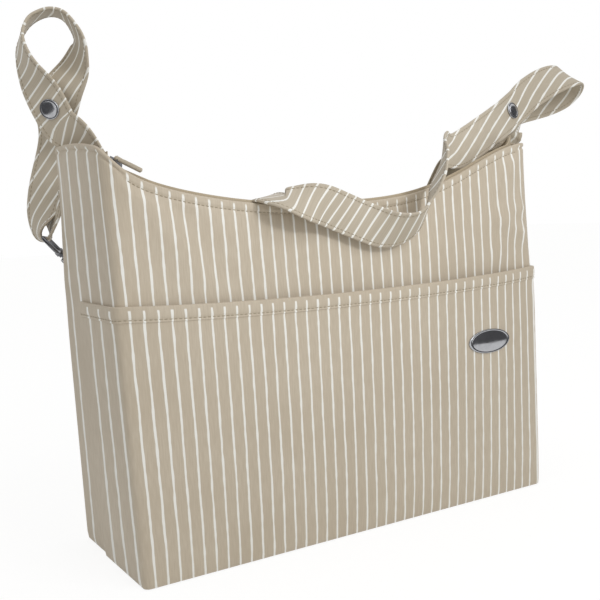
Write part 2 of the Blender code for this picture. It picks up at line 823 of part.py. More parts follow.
def strap_stations():
    """The strap's whole route, from the left hook round both loops to the right hook."""
    left_front = flat_stretch(left_top(-1, 44, 28), (0.42, 0, -0.9), (-0.59, 0.7, -0.4))
    left_back = layer_behind(left_front, (0.12, -0.56, 0.82), -4 * MM)
    right_front = flat_stretch(right_top(23, -11, 26), (0.86, 0.25, 0.44), (0.78, 0.02, -0.63))
    right_back = layer_behind(right_front, (-0.62, 0, -0.78), 8 * MM)
    left_tail = [
        Station(near_bar(-1, 10.8, 3.5, 54), (-0.69, 0.72, 0.1)),
        Station(near_bar(-1, 6.4, 5.6, 37), (-0.69, 0.73, -0.05)),
        Station(near_bar(-1, 6.6, -0.5, 17), (-0.2, 0.97, -0.05)),
    ]
    right_tail = [
        Station(near_bar(1, -6.6, -0.5, 17), (0.2, -0.97, -0.05)),
        Station(near_bar(1, -6.4, 5.6, 37), (0.6, -0.8, -0.05)),
        Station(near_bar(1, -6.4, 5.6, 52), (0.6, -0.8, -0.05)),
    ]
    left_rise = [
        Station(near_bar(-1, -2, 5, 13), (-0.40, 0.86, -0.2)),
        Station(near_bar(-1, 4, 4, 37), (-0.69, 0.73, -0.05)),
        Station(left_top(10, 73, 6), (-0.68, 0.67, 0.29)),
    ]
    left_loop = [
        Station(left_top(18, 37, 60), (-0.36, 0.87, 0.32)),
        Station(left_top(20, 32, 76), (0.09, 0.98, 0.15)),
        Station(left_top(12, 38, 94), (0.24, 0.97, 0.07)),
        Station(left_top(2, 42, 97), (0.27, 0.96, 0.01)),
        Station(left_top(-9, 45, 92), (0.31, 0.95, 0.01)),
        Station(left_top(-16, 44, 84), (0.35, 0.93, 0.1)),
        Station(left_top(-20, 43, 74), (0.14, 0.97, 0.12)),
        Station(left_top(-19, 41, 63), (-0.11, 0.99, 0.1)),
        Station(left_top(-13, 42, 51), (-0.32, 0.93, -0.1)),
    ]
    inside = [
        Station(left_top(15, 35, 5), (-0.45, 0.82, -0.3)),
        Station(left_top(27, 30, -16), (-0.25, 0.85, -0.45)),
        Station(left_top(44, 14, -39), (0.05, 0.55, -0.83)),
        Station(left_top(70, -8, -52), (-0.15, -0.1, -0.98)),
        Station(left_top(97, -25, -50), (-0.35, -0.7, -0.6)),
    ]
    drape = [
        Station(rim_low(-42, 16, 10), (-0.43, -0.89, -0.12)),
        Station(rim_low(-34, -9, 4.5), (-0.6, -0.72, -0.35)),
        Station(rim_low(-24, -11, 3), (-0.61, -0.5, -0.62)),
        Station(rim_low(-3, -14, -0.5), (-0.52, -0.03, -0.85)),
        Station(rim_low(18, -12, -8), (-0.39, 0.13, -0.91)),
        Station(rim_low(38, -13, -16), (-0.33, 0.09, -0.94)),
        Station(rim_low(55, -17, -22), (0.09, 0.42, -0.9)),
        Station(rim_low(72, -20, -21), (0.44, 0.6, -0.66)),
        Station(rim_low(83, -21, -15), (0.58, 0.74, -0.34)),
        Station(rim_low(92, -21, -1), (0.55, 0.83, -0.04)),
        Station(rim_low(98, -22, 11), (0.42, 0.9, 0.09)),
        Station(rim_low(112, -12, 28), (0.58, 0.81, 0.1)),
        Station(rim_low(129, 3, 39), (0.67, 0.6, -0.4)),
    ]
    right_rise = [
        Station(right_top(-70, -41, -12), (0.45, -0.1, -0.89)),
        Station(right_top(-40, -35, 0), (0.47, -0.14, -0.87)),
    ]
    right_loop = [
        Station(right_top(56, -5, 48), (0.75, -0.03, -0.66)),
        Station(right_top(93, -8, 64), (0.9, -0.02, -0.43)),
        Station(right_top(108, -5, 58), (0.8, -0.38, -0.47)),
        Station(right_top(105, 0, 43), (0.83, -0.27, -0.49)),
        Station(right_top(76, 3, 43), (0.68, -0.21, -0.7)),
    ]
    right_fall = [
        Station(right_top(29, 6, 2), (0.89, -0.39, -0.22)),
        Station(right_top(38, 34, -14), (0.8, -0.58, -0.1)),
        Station(right_top(27, 62, -34), (0.45, -0.88, -0.1)),
        Station(near_bar(1, 9, 2, 15), (0.36, -0.92, -0.05)),
    ]
    route = (left_tail + wrap_round_bar(-1) + left_rise + left_back + left_loop + left_front
             + inside + drape + right_rise + right_front + right_loop + right_back + right_fall
             + list(reversed(wrap_round_bar(1))) + right_tail)
    return route, left_front, right_front


def strap_rings(route):
    """Sections of the strap along a smooth curve through its stations."""
    centres = [station.centre for station in route]
    acrosses = [station.across for station in route]
    centres = [2 * centres[0] - centres[1]] + centres + [2 * centres[-1] - centres[-2]]
    acrosses = [acrosses[0]] + acrosses + [acrosses[-1]]
    rings = []
    for index in range(1, len(centres) - 2):
        places = centres[index - 1:index + 3]
        widths = acrosses[index - 1:index + 3]
        steps = max(1, round((places[2] - places[1]).length / STRAP_STEP))
        last = index == len(centres) - 3
        for step in range(steps + last):
            share = step / steps
            heading = catmull_slope(*places, share).normalized()
            across = catmull(*widths, share)
            across = (across - heading * across.dot(heading)).normalized()
            normal = across.cross(heading)
            centre = catmull(*places, share)
            rings.append([centre + across * (wide * STRAP_WIDTH / 2)
                          + normal * (thick * STRAP_THICKNESS / 2)
                          for wide, thick in ((-1, -1), (1, -1), (1, 1), (-1, 1))])
    return rings


def snap_frame(stretch):
    """Frame of a snap: its centre in the strap and +Z out of the cap."""
    normal = stretch_normal(stretch)
    across = stretch[2].across
    turn = Matrix((across, normal.cross(across), normal)).transposed().to_4x4()
    return Matrix.Translation(stretch[2].centre) @ turn


def build_strap(finish):
    """The webbing strap, with the four holes its rivets pass through."""
    route, left_front, right_front = strap_stations()
    item = add_object("strap", loft("strap", strap_rings(route)), PARTS, finish)
    for name, stretch in (("left", left_front), ("right", right_front)):
        depth = snap_stack() + 3 * STRAP_THICKNESS
        mesh = cylinder_mesh(name + "_rivet_hole", RIVET_RADIUS + RIVET_CLEARANCE, depth)
        place = snap_frame(stretch) @ Matrix.Translation(Z_AXIS * (-snap_stack() / 2))
        combine(item, cutter(name + "_rivet_hole", mesh, place), "DIFFERENCE")
    return left_front, right_front


# Snap fasteners

def build_snap(name, stretch, finish):
    """One snap: cap and socket on the near layer, stud and post on the far one."""
    frame = snap_frame(stretch)
    face = STRAP_THICKNESS / 2
    base = face + SEAM_GAP
    cap = [(0, base + SNAP_DOME), (SNAP_RADIUS * 0.5, base + SNAP_DOME * 0.9),
           (SNAP_RADIUS * 0.85, base + SNAP_DOME * 0.6), (SNAP_RADIUS, base + SNAP_DOME * 0.25),
           (SNAP_RADIUS, base), (RIVET_RADIUS, base), (RIVET_RADIUS, -face), (0, -face)]
    turned(name + "_snap_cap", cap, PARTS, finish, frame, 20)
    low = -base - SOCKET_HEIGHT
    socket = [(SOCKET_RADIUS, -base), (SOCKET_RADIUS, low), (SOCKET_BORE, low),
              (SOCKET_BORE, -base), (SOCKET_RADIUS, -base)]
    turned(name + "_snap_socket", socket, PARTS, finish, frame)
    flange = low - SEAM_GAP
    knob = flange + STUD_HEIGHT
    stud = [(0, knob), (STUD_RADIUS * 0.8, knob), (STUD_RADIUS, knob - STUD_HEIGHT * 0.3),
            (STUD_RADIUS, flange), (STUD_FLANGE_RADIUS, flange),
            (STUD_FLANGE_RADIUS, flange - STUD_FLANGE), (0, flange - STUD_FLANGE)]
    turned(name + "_snap_stud", stud, PARTS, finish, frame)
    near = flange - STUD_FLANGE - SEAM_GAP
    far = near - STRAP_THICKNESS - SEAM_GAP
    post = [(0, near), (RIVET_RADIUS, near), (RIVET_RADIUS, far), (POST_RADIUS, far),
            (POST_RADIUS, far - POST_THICKNESS), (0, far - POST_THICKNESS)]
    turned(name + "_snap_post", post, PARTS, finish, frame)


# Ring tabs, rings and swivel hooks

def pull_direction(side):
    """Direction in which the hook on one side hangs from the strap."""
    return Vector((HOOK_PULL.x * -side, HOOK_PULL.y, HOOK_PULL.z))


def eye_frame(side):
    """Frame of a hook's eye: origin in its bar, X along the bar and Z along the pull."""
    pull = pull_direction(side)
    aim = Vector((BAR_AIM.x * -side, BAR_AIM.y, BAR_AIM.z))
    aim = (aim - pull * aim.dot(pull)).normalized()
    turn = Matrix((aim, pull.cross(aim), pull)).transposed().to_4x4()
    place = near_bar(side, 0, 0, 0)
    return Matrix.Translation(place) @ turn


def hook_frame(side):
    """Frame of the hook: same origin and pull, with X along the ring's bar and Y outwards."""
    pull = pull_direction(side)
    ring_aim = Y_AXIS.cross(pull).normalized()
    turn = Matrix((ring_aim, pull.cross(ring_aim), pull)).transposed().to_4x4()
    return Matrix.Translation(eye_frame(side).to_translation()) @ turn


def bow_centre():
    """Distance from the eye's bar to the middle of the hook's bow."""
    return EYE_LENGTH + BOW_DROP


def ring_top():
    """Distance from the eye's bar to the ring's wire, where it hangs in the bow."""
    return bow_centre() + BOW_RADIUS - HOOK_WIRE - RING_WIRE - SEAM_GAP


def ring_bar():
    """Distance from the eye's bar to the ring's straight bar."""
    return ring_top() + RING_HEIGHT


def build_eye(name, side, finish):
    """The frame that the strap turns round, with the boss that the hook swivels in."""
    half = STRAP_WIDTH / 2 + EYE_SIDE_CLEARANCE + EYE_WIRE
    points = []
    for corner_x, corner_z, start in ((1, 1, 0), (-1, 1, 90), (-1, -1, 180), (1, -1, 270)):
        for step in range(4):
            angle = math.radians(start + 30 * step)
            points.append(Vector((
                corner_x * (half - EYE_CORNER) + EYE_CORNER * math.cos(angle), 0,
                EYE_LENGTH / 2 + corner_z * (EYE_LENGTH / 2 - EYE_CORNER)
                + EYE_CORNER * math.sin(angle))))
    frame = eye_frame(side)
    item = add_object(name, wire_mesh(name, points, EYE_WIRE, True), PARTS, finish, frame)
    boss = cutter(name + "_boss", cylinder_mesh(name + "_boss", BOSS_RADIUS, BOSS_HEIGHT),
                  frame @ Matrix.Translation(Z_AXIS * EYE_LENGTH))
    bore = cutter(name + "_bore", cylinder_mesh(name + "_bore", SHANK_RADIUS + SHANK_CLEARANCE,
                                                3 * BOSS_HEIGHT),
                  frame @ Matrix.Translation(Z_AXIS * EYE_LENGTH))
    combine(item, boss, "UNION")
    combine(item, bore, "DIFFERENCE")


def bow_point(turn):
    """A point on the bow's middle line, turned from its top towards the bag."""
    angle = math.radians(turn)
    return Vector((0, -BOW_RADIUS * math.sin(angle),
                   bow_centre() - BOW_RADIUS * math.cos(angle)))


def gate_pivot():
    """Place of the gate's pin in the hook's frame."""
    return Vector((0, GATE_PIVOT_X, bow_centre() - BOW_RADIUS + GATE_PIVOT_DROP))


def build_hook(name, side, finish):
    """The swivel hook: head, shank, collar, bow and the cheeks that hold the gate."""
    frame = hook_frame(side)
    boss_low = EYE_LENGTH - BOSS_HEIGHT / 2 - SEAM_GAP
    boss_high = EYE_LENGTH + BOSS_HEIGHT / 2 + SEAM_GAP
    collar = boss_high + COLLAR_THICKNESS
    foot = bow_point(0).z
    profile = [(0, foot), (SHANK_RADIUS, foot), (SHANK_RADIUS, collar),
               (COLLAR_RADIUS, collar), (COLLAR_RADIUS, boss_high), (SHANK_RADIUS, boss_high),
               (SHANK_RADIUS, boss_low), (HEAD_RADIUS, boss_low),
               (HEAD_RADIUS, boss_low - HEAD_THICKNESS), (0, boss_low - HEAD_THICKNESS)]
    item = turned(name, profile, PARTS, finish, frame)
    bow = [bow_point(blend(-10, BOW_TIP_TURN, step / 17)) for step in range(18)]
    combine(item, cutter(name + "_bow", wire_mesh(name + "_bow", bow, HOOK_WIRE), frame), "UNION")
    pivot = gate_pivot()
    outer = pivot.y + LUG_RADIUS
    lug = box_mesh(name + "_lug", (2 * LUG_HALF_WIDTH, outer, 2 * LUG_RADIUS),
                   (0, outer / 2, pivot.z))
    combine(item, cutter(name + "_lug", lug, frame), "UNION")
    notch_from = pivot.y - GATE_KNUCKLE - 2 * PIN_CLEARANCE
    notch = box_mesh(name + "_notch", (2 * (GATE_HALF_WIDTH + PIN_CLEARANCE), outer,
                                       6 * LUG_RADIUS),
                     (0, notch_from + outer / 2, pivot.z))
    combine(item, cutter(name + "_notch", notch, frame), "DIFFERENCE")
    hole = cylinder_mesh(name + "_pin_hole", PIN_RADIUS + PIN_CLEARANCE, 4 * LUG_HALF_WIDTH, "X")
    combine(item, cutter(name + "_pin_hole", hole, frame @ Matrix.Translation(pivot)),
            "DIFFERENCE")


def build_gate(name, side, finish):
    """The gate: knuckle, pin and rod, with its origin on the pin."""
    frame = hook_frame(side) @ Matrix.Translation(gate_pivot())
    tip = bow_point(BOW_TIP_TURN) - gate_pivot()
    lean = math.atan2(tip.y, tip.z)
    item = add_object(name, cylinder_mesh(name, GATE_KNUCKLE, 2 * GATE_HALF_WIDTH, "X"),
                      PARTS, finish, frame)
    pin = cutter(name + "_pin", cylinder_mesh(name + "_pin", PIN_RADIUS, 2 * LUG_HALF_WIDTH
                                              - PIN_CLEARANCE, "X", 12), frame)
    rod = cylinder_mesh(name + "_rod", GATE_WIRE, GATE_LENGTH, "Z", 12)
    turn = Matrix.Rotation(-lean, 4, "X") @ Matrix.Translation(Z_AXIS * (GATE_LENGTH / 2))
    combine(item, pin, "UNION")
    combine(item, cutter(name + "_rod", rod, frame @ turn), "UNION")


def build_ring(name, side, finish):
    """The ring: a straight bar and a round bow, with its origin on the bar."""
    half = RING_WIDTH / 2
    shoulder = RING_WIRE * 2
    points = []
    for step in range(13):
        angle = math.pi * step / 12
        points.append(Vector((half * math.cos(angle), 0,
                              -shoulder - (RING_HEIGHT - shoulder) * math.sin(angle))))
    points += [Vector((-half * 0.93, 0, -shoulder * 0.3)), Vector((-half * 0.78, 0, 0)),
               Vector((half * 0.78, 0, 0)), Vector((half * 0.93, 0, -shoulder * 0.3))]
    frame = hook_frame(side) @ Matrix.Translation(Z_AXIS * ring_bar())
    add_object(name, wire_mesh(name, points, RING_WIRE, True), PARTS, finish, frame)


def build_ring_tab(name, side, finish):
    """The folded webbing tab, sewn slantwise on the back panel, that holds a ring."""
    frame = hook_frame(side) @ Matrix.Translation(Z_AXIS * ring_bar())
    centre = frame.to_translation()
    pull = pull_direction(side)
    down = Vector((pull.x, 0, pull.z)).normalized()
    aim = frame.to_3x3() @ X_AXIS
    height = centre.y - face_depth(centre.x, centre.z, BACK_CORNER_HEIGHT)
    turn = RING_WIRE + SEAM_GAP + TAB_THICKNESS / 2
    under = SEAM_GAP + TAB_THICKNESS / 2
    over = under + TAB_THICKNESS + SEAM_GAP
    path = [(TAB_LENGTH, under), (TAB_LENGTH * 0.7, under), (TAB_LENGTH * 0.42, under),
            (turn * 1.6, blend(under, height - turn, 0.6)), (turn * 0.5, height - turn)]
    for step in range(7):
        angle = math.radians(270 - 30 * step)
        path.append((turn * math.cos(angle), height + turn * math.sin(angle)))
    path += [(turn * 1.6, blend(over, height + turn, 0.72)), (TAB_LENGTH * 0.42, over),
             (TAB_LENGTH * 0.7, over), (TAB_LENGTH, over)]
    sides = ([], [])
    for index, (along, rise) in enumerate(path):
        before = Vector(path[max(index - 1, 0)])
        after = Vector(path[min(index + 1, len(path) - 1)])
        slope = (after - before).normalized()
        for row, sign in zip(sides, (-1, 1)):
            row.append((along - slope.y * sign * TAB_THICKNESS / 2,
                        rise + slope.x * sign * TAB_THICKNESS / 2))
    outline = sides[0] + list(reversed(sides[1]))
    rings = []
    for step in range(5):
        shift = TAB_WIDTH * (step / 4 - 0.5) * TAB_NARROWING
        ring = []
        for along, rise in outline:
            point = centre + down * along + aim * shift
            face = face_depth(point.x, point.z, BACK_CORNER_HEIGHT)
            flat = max(0.0, 1 - max(along, 0) / (TAB_LENGTH * 0.42))
            face = blend(face, centre.y - height, flat)
            ring.append(Vector((point.x, face + rise, point.z)))
        rings.append(ring)
    add_object(name, loft(name, rings), PARTS, finish)


# Badge

def pocket_face(x, z):
    """A point of the pocket's outer face on its front."""
    across = x / half_width(z)
    top = pocket_top(across)
    slack = POCKET_EASE * (1 - across ** 6)
    return pocket_station("front", across, SEAM_GAP + slack * z / top + POCKET_CLOTH, z)


def build_badge(finish):
    """The bare domed oval plate on the pocket."""
    half_x = BADGE_WIDTH / 2
    half_z = BADGE_HEIGHT / 2
    along = pocket_face(BADGE_X + half_x, BADGE_Z) - pocket_face(BADGE_X - half_x, BADGE_Z)
    upward = pocket_face(BADGE_X, BADGE_Z + half_z) - pocket_face(BADGE_X, BADGE_Z - half_z)
    along.normalize()
    normal = along.cross(upward).normalized()
    turn = Matrix((along, normal.cross(along), normal)).transposed().to_4x4()
    place = pocket_face(BADGE_X, BADGE_Z) + normal * SEAM_GAP
    rings = []
    for size, height in ((1, 0), (1, BADGE_EDGE), (0.93, BADGE_EDGE + BADGE_DOME * 0.3),
                         (0.75, BADGE_EDGE + BADGE_DOME * 0.65), (0.5, BADGE_EDGE
                                                                 + BADGE_DOME * 0.9),
                         (0.25, BADGE_EDGE + BADGE_DOME)):
        rings.append([Vector((half_x * size * math.cos(step * math.pi / 16),
                              half_z * size * math.sin(step * math.pi / 16), height))
                      for step in range(32)])
    add_object("badge", loft("badge", rings), PARTS, finish, Matrix.Translation(place) @ turn)


# Whole bag

clear_scene()
PARTS = new_collection("stroller_bag")
CUTTERS = new_collection("cutters")


def build_bag():
    """Build every piece of the bag."""
    cloth = material("striped_beige_cloth", (0.60, 0.50, 0.38), 0.75)
    inner = material("beige_lining_cloth", (0.42, 0.36, 0.28), 0.85)
    webbing = material("striped_webbing", (0.55, 0.46, 0.35), 0.8)
    tape = material("woven_zip_tape", (0.50, 0.43, 0.33), 0.85)
    board = material("grey_board", (0.30, 0.30, 0.30), 0.9)
    metal = material("chromed_metal", (0.78, 0.78, 0.79), 0.18, 1.0)
    dark_metal = material("darkened_metal", (0.12, 0.12, 0.13), 0.35, 1.0)
    build_face_panel("front_panel", -1, FRONT_CORNER_HEIGHT, cloth)
    build_face_panel("back_panel", 1, BACK_CORNER_HEIGHT, cloth)
    build_gusset("left_gusset", -1, cloth)
    build_gusset("right_gusset", 1, cloth)
    build_base(cloth, board)
    build_lining(inner)
    build_pocket(cloth)
    build_tapes(tape)
    build_end_tab(tape)
    build_slider(dark_metal)
    build_puller(webbing)
    build_badge(metal)
    stretches = build_strap(webbing)
    for name, side, stretch in (("left", -1, stretches[0]), ("right", 1, stretches[1])):
        build_snap(name, stretch, metal)
        build_ring_tab(name + "_ring_tab", side, webbing)
        build_ring(name + "_ring", side, metal)
        build_eye(name + "_hook_eye", side, dark_metal)
        build_hook(name + "_hook", side, dark_metal)
        build_gate(name + "_hook_gate", side, metal)


build_bag()
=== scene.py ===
"""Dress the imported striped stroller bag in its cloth, webbing, zip, chrome and studio.

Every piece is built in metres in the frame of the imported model. The bag stands on the floor
with its front towards -Y, and the sizes below are those of the part's own source.
"""
from __future__ import annotations

import logging
import math
from dataclasses import dataclass, field
from enum import Enum

import bmesh
import bpy
from mathutils import Matrix, Vector, noise


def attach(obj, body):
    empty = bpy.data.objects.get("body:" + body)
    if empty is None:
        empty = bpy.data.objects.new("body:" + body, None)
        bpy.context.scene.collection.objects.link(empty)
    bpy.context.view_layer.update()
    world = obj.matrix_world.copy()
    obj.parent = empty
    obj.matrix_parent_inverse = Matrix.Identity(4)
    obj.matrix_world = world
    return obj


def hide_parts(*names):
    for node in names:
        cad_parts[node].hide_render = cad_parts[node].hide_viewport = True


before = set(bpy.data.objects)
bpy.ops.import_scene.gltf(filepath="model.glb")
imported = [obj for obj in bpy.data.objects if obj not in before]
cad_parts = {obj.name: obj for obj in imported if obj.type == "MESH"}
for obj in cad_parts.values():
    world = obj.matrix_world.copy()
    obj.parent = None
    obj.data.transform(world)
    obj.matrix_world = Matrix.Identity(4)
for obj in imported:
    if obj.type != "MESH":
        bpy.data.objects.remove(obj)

LOG = logging.getLogger("stroller_bag")
MM = 0.001
PHOTO_SIZE = 600
CLOTH_UV = "cloth"
PLAIN = "plain"
AIM = "aim"
X_AXIS = Vector((1, 0, 0))
Y_AXIS = Vector((0, 1, 0))
Z_AXIS = Vector((0, 0, 1))

Section = tuple[list[Vector], list[tuple[float, float]], list[float]]
Route = list[tuple[Vector, Vector]]
Triple = tuple[float, float, float]
Value = float | tuple | bpy.types.NodeSocket
Waves = tuple[tuple[float, float, float, float], ...]


class Slot(Enum):
    """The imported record's material slots."""

    CLOTH = "striped_cloth"
    LINING = "lining_cloth"
    WEBBING = "webbing"
    TAPE = "zip_tape"
    BOARD = "board"
    CHROME = "chromed"
    DARK = "dark_metal"


class Face(Enum):
    """Stretches of the bag's outline, seen from above."""

    FRONT = "front"
    BACK = "back"
    LEFT = "left"
    RIGHT = "right"
    CORNER = "corner"


# Numbers and colours

def blend(low: float, high: float, share: float) -> float:
    """A value between two others."""
    return low + (high - low) * share


def ramp(start: float, end: float, value: float) -> float:
    """A smooth rise from 0 at start to 1 at end."""
    share = max(0.0, min((value - start) / (end - start), 1.0))
    return share * share * (3 - 2 * share)


def bell(distance: float, width: float) -> float:
    """A bell curve of height 1 about distance 0."""
    return math.exp(-(distance / width) ** 2)


def grain(point: Vector, size: float, seed: float = 0.0) -> float:
    """Smooth noise from -1 to 1 whose lumps are about one size wide."""
    return noise.noise(point / size + Vector((seed, seed * 1.7, seed * 0.3)))


def ripples(point: Vector, waves: Waves) -> float:
    """Some waves of noise added up, each with a height, size, squash in height and seed."""
    return sum(tall * grain(Vector((point.x, point.y, point.z * squash)), size, seed)
               for tall, size, squash, seed in waves)


def linear(hex_colour: str) -> tuple[float, float, float, float]:
    """A written sRGB colour as linear light.

    Args:
        hex_colour: The colour as #RRGGBB.

    Returns:
        Red, green, blue and full alpha.
    """
    parts = [int(hex_colour[index:index + 2], 16) / 255 for index in (1, 3, 5)]
    return (*(part / 12.92 if part <= 0.04045 else ((part + 0.055) / 1.055) ** 2.4
              for part in parts), 1.0)


def set_inputs(tree: bpy.types.NodeTree, node: bpy.types.Node, inputs: dict) -> None:
    """Set a node's inputs, or link those that are given as sockets.

    Args:
        tree: The node's tree.
        node: The node.
        inputs: Values or output sockets by the name or number of an input.
    """
    for name, value in inputs.items():
        if isinstance(value, bpy.types.NodeSocket):
            tree.links.new(value, node.inputs[name])
        else:
            node.inputs[name].default_value = value


def add_node(tree: bpy.types.NodeTree, kind: str, settings: dict | None = None,
             inputs: dict | None = None) -> bpy.types.Node:
    """Add a node with its settings, and link or set its inputs.

    Args:
        tree: The shader or geometry tree that gets the node.
        kind: The node's type.
        settings: Attributes of the node.
        inputs: Values or output sockets by the name or number of an input.

    Returns:
        The new node.
    """
    node = tree.nodes.new(kind)
    for name, value in (settings or {}).items():
        setattr(node, name, value)
    set_inputs(tree, node, inputs or {})
    return node


def maths(tree: bpy.types.NodeTree, operation: str, *values: Value,
          clamp: bool = False) -> bpy.types.NodeSocket:
    """Add a Math node.

    Args:
        tree: The tree that gets the node.
        operation: The node's operation.
        *values: Its inputs in order.
        clamp: Whether the result is kept between 0 and 1.

    Returns:
        The node's result.
    """
    return add_node(tree, "ShaderNodeMath", {"operation": operation, "use_clamp": clamp},
                    dict(enumerate(values))).outputs[0]


def cloud(tree: bpy.types.NodeTree, place: bpy.types.NodeSocket, scale: float, detail: float,
          flat: bool = False, roughness: float = 0.5) -> bpy.types.NodeSocket:
    """Add a noise texture.

    Args:
        tree: The tree that gets the node.
        place: Where the noise is read.
        scale: Lumps per unit.
        detail: Octaves of finer lumps.
        flat: Whether the noise changes in two directions only.
        roughness: Strength of the finer lumps.

    Returns:
        The noise, from 0 to 1.
    """
    return add_node(tree, "ShaderNodeTexNoise", {"noise_dimensions": "2D" if flat else "3D"},
                    {"Vector": place, "Scale": scale, "Detail": detail,
                     "Roughness": roughness}).outputs["Fac"]


def mixed(tree: bpy.types.NodeTree, share: bpy.types.NodeSocket, first: Value,
          second: Value) -> bpy.types.NodeSocket:
    """A colour between two others, the second where the share is 1."""
    return add_node(tree, "ShaderNodeMix", {"data_type": "RGBA"},
                    {0: share, 6: first, 7: second}).outputs[2]


def bump(tree: bpy.types.NodeTree, strength: float, depth: float,
         height: bpy.types.NodeSocket) -> bpy.types.NodeSocket:
    """Normals bent by a height, where a height of 1 stands for the depth in metres."""
    return add_node(tree, "ShaderNodeBump", None,
                    {"Strength": strength, "Distance": depth, "Height": height}).outputs[0]


def own_place(tree: bpy.types.NodeTree) -> bpy.types.NodeSocket:
    """The place of each point in its own piece, in metres."""
    return add_node(tree, "ShaderNodeTexCoord").outputs["Object"]


# Finishes

def new_material(name: str) -> tuple[bpy.types.Material, bpy.types.NodeTree, bpy.types.Node]:
    """A material with its tree and its Principled shader.

    Args:
        name: The material's name.

    Returns:
        The material, its tree and its shader.
    """
    made = bpy.data.materials.new(name)
    made.use_nodes = True
    return made, made.node_tree, made.node_tree.nodes["Principled BSDF"]


@dataclass(frozen=True)
class StripedSatin:
    """Polyester satin, woven, with pale pinstripes: a soft gloss and fine upright threads.

    The pinstripes lie at whole numbers of the piece's first cloth coordinate, and waver a
    little as the woven ones do. The second coordinate runs along the threads, in metres.
    """

    name: str = "woven_polyester_satin"
    ground: str = "#CABEAB"
    shade: str = "#C0B39F"
    stripe: str = "#F3F2EC"
    stripe_share: float = 0.135
    stripe_edge: float = 0.035
    waver: float = 0.11
    waver_length: float = 22 * MM
    lane_gap: float = 7.3
    thread_pitch: float = 0.9 * MM
    stripe_pitch: float = 9.5 * MM
    roughness: float = 0.62
    sheen: float = 0.12

    def stripes(self, tree: bpy.types.NodeTree, phase: bpy.types.NodeSocket,
                along: bpy.types.NodeSocket) -> bpy.types.NodeSocket:
        """The pinstripes, each of which wavers and swells by itself.

        Args:
            tree: The material's tree.
            phase: The first cloth coordinate.
            along: The second cloth coordinate.

        Returns:
            1 on a pinstripe, 0 beside it and on the plain parts of a piece.
        """
        number = maths(tree, "ROUND", phase)
        run = maths(tree, "DIVIDE", along, self.waver_length)
        place = add_node(tree, "ShaderNodeCombineXYZ", None, {0: number, 1: run})
        lane = add_node(tree, "ShaderNodeVectorMath", {"operation": "MULTIPLY"},
                        {0: place.outputs[0], 1: (self.lane_gap, 1.0, 1.0)}).outputs[0]
        shift = maths(tree, "MULTIPLY_ADD", cloud(tree, lane, 1.0, 2.0, flat=True), self.waver,
                      -self.waver / 2)
        moved = maths(tree, "ADD", maths(tree, "SUBTRACT", phase, number), shift)
        half = maths(tree, "MULTIPLY_ADD", cloud(tree, lane, 2.3, 1.0, flat=True),
                     self.stripe_share * 0.55, self.stripe_share * 0.225)
        mask = add_node(tree, "ShaderNodeMapRange", {"interpolation_type": "SMOOTHSTEP"},
                        {"Value": maths(tree, "ABSOLUTE", moved),
                         "From Min": maths(tree, "ADD", half, self.stripe_edge),
                         "From Max": half, "To Min": 0.0, "To Max": 1.0})
        plain = add_node(tree, "ShaderNodeAttribute", {"attribute_name": PLAIN})
        return maths(tree, "SUBTRACT", mask.outputs[0], plain.outputs["Fac"], clamp=True)

    def build(self) -> bpy.types.Material:
        """Make the material.

        Returns:
            The material, with its stripes, threads, tone changes and bump.
        """
        made, tree, shader = new_material(self.name)
        coords = add_node(tree, "ShaderNodeUVMap", {"uv_map": CLOTH_UV})
        parts = add_node(tree, "ShaderNodeSeparateXYZ", None, {0: coords.outputs["UV"]}).outputs
        striped = self.stripes(tree, parts[0], parts[1])
        threads = add_node(tree, "ShaderNodeCombineXYZ", None, {0: parts[0], 1: parts[1]})
        # The real threads are 0.1 mm, drawn about nine times as coarse so that they show
        woven = add_node(tree, "ShaderNodeVectorMath", {"operation": "MULTIPLY"},
                         {0: threads.outputs[0], 1: (self.stripe_pitch / self.thread_pitch,
                                                     0.08 / self.thread_pitch, 1.0)})
        weave = cloud(tree, woven.outputs[0], 1.0, 2.0, flat=True)
        tone = cloud(tree, own_place(tree), 14.0, 3.0)
        ground = add_node(tree, "ShaderNodeMapRange", None,
                          {"Value": maths(tree, "MULTIPLY", tone, weave), "From Min": 0.12,
                           "From Max": 0.42}).outputs[0]
        base = mixed(tree, ground, linear(self.shade), linear(self.ground))
        height = maths(tree, "MULTIPLY_ADD", striped, 0.6, weave)
        set_inputs(tree, shader, {"Base Color": mixed(tree, striped, base, linear(self.stripe)),
                                  "Normal": bump(tree, 0.35, 0.12 * MM, height),
                                  "Roughness": self.roughness, "Sheen Weight": self.sheen,
                                  "Specular IOR Level": 0.35})
        return made


@dataclass(frozen=True)
class PlainWeave:
    """Spun polyester, plain woven: matt, with crossed threads and slightly uneven colour."""

    name: str
    light: str
    dark: str
    thread_pitch: float
    roughness: float = 0.8
    relief: float = 0.15 * MM

    def build(self) -> bpy.types.Material:
        """Make the material, with crossed threads read from the piece's own place.

        Returns:
            The material.
        """
        made, tree, shader = new_material(self.name)
        where = own_place(tree)
        threads = [add_node(tree, "ShaderNodeTexWave",
                            {"wave_type": "BANDS", "bands_direction": direction},
                            {"Vector": where, "Scale": 0.314 / self.thread_pitch,
                             "Distortion": 0.6, "Detail": 1.0, "Detail Scale": 1.5})
                   for direction in ("X", "Z")]
        cross = maths(tree, "MULTIPLY", *(thread.outputs["Fac"] for thread in threads))
        tone = maths(tree, "MULTIPLY_ADD", cross, 0.45, cloud(tree, where, 22.0, 4.0), clamp=True)
        set_inputs(tree, shader, {
            "Base Color": mixed(tree, tone, linear(self.dark), linear(self.light)),
            "Normal": bump(tree, 0.5, self.relief, cross), "Roughness": self.roughness,
            "Sheen Weight": 0.1})
        return made


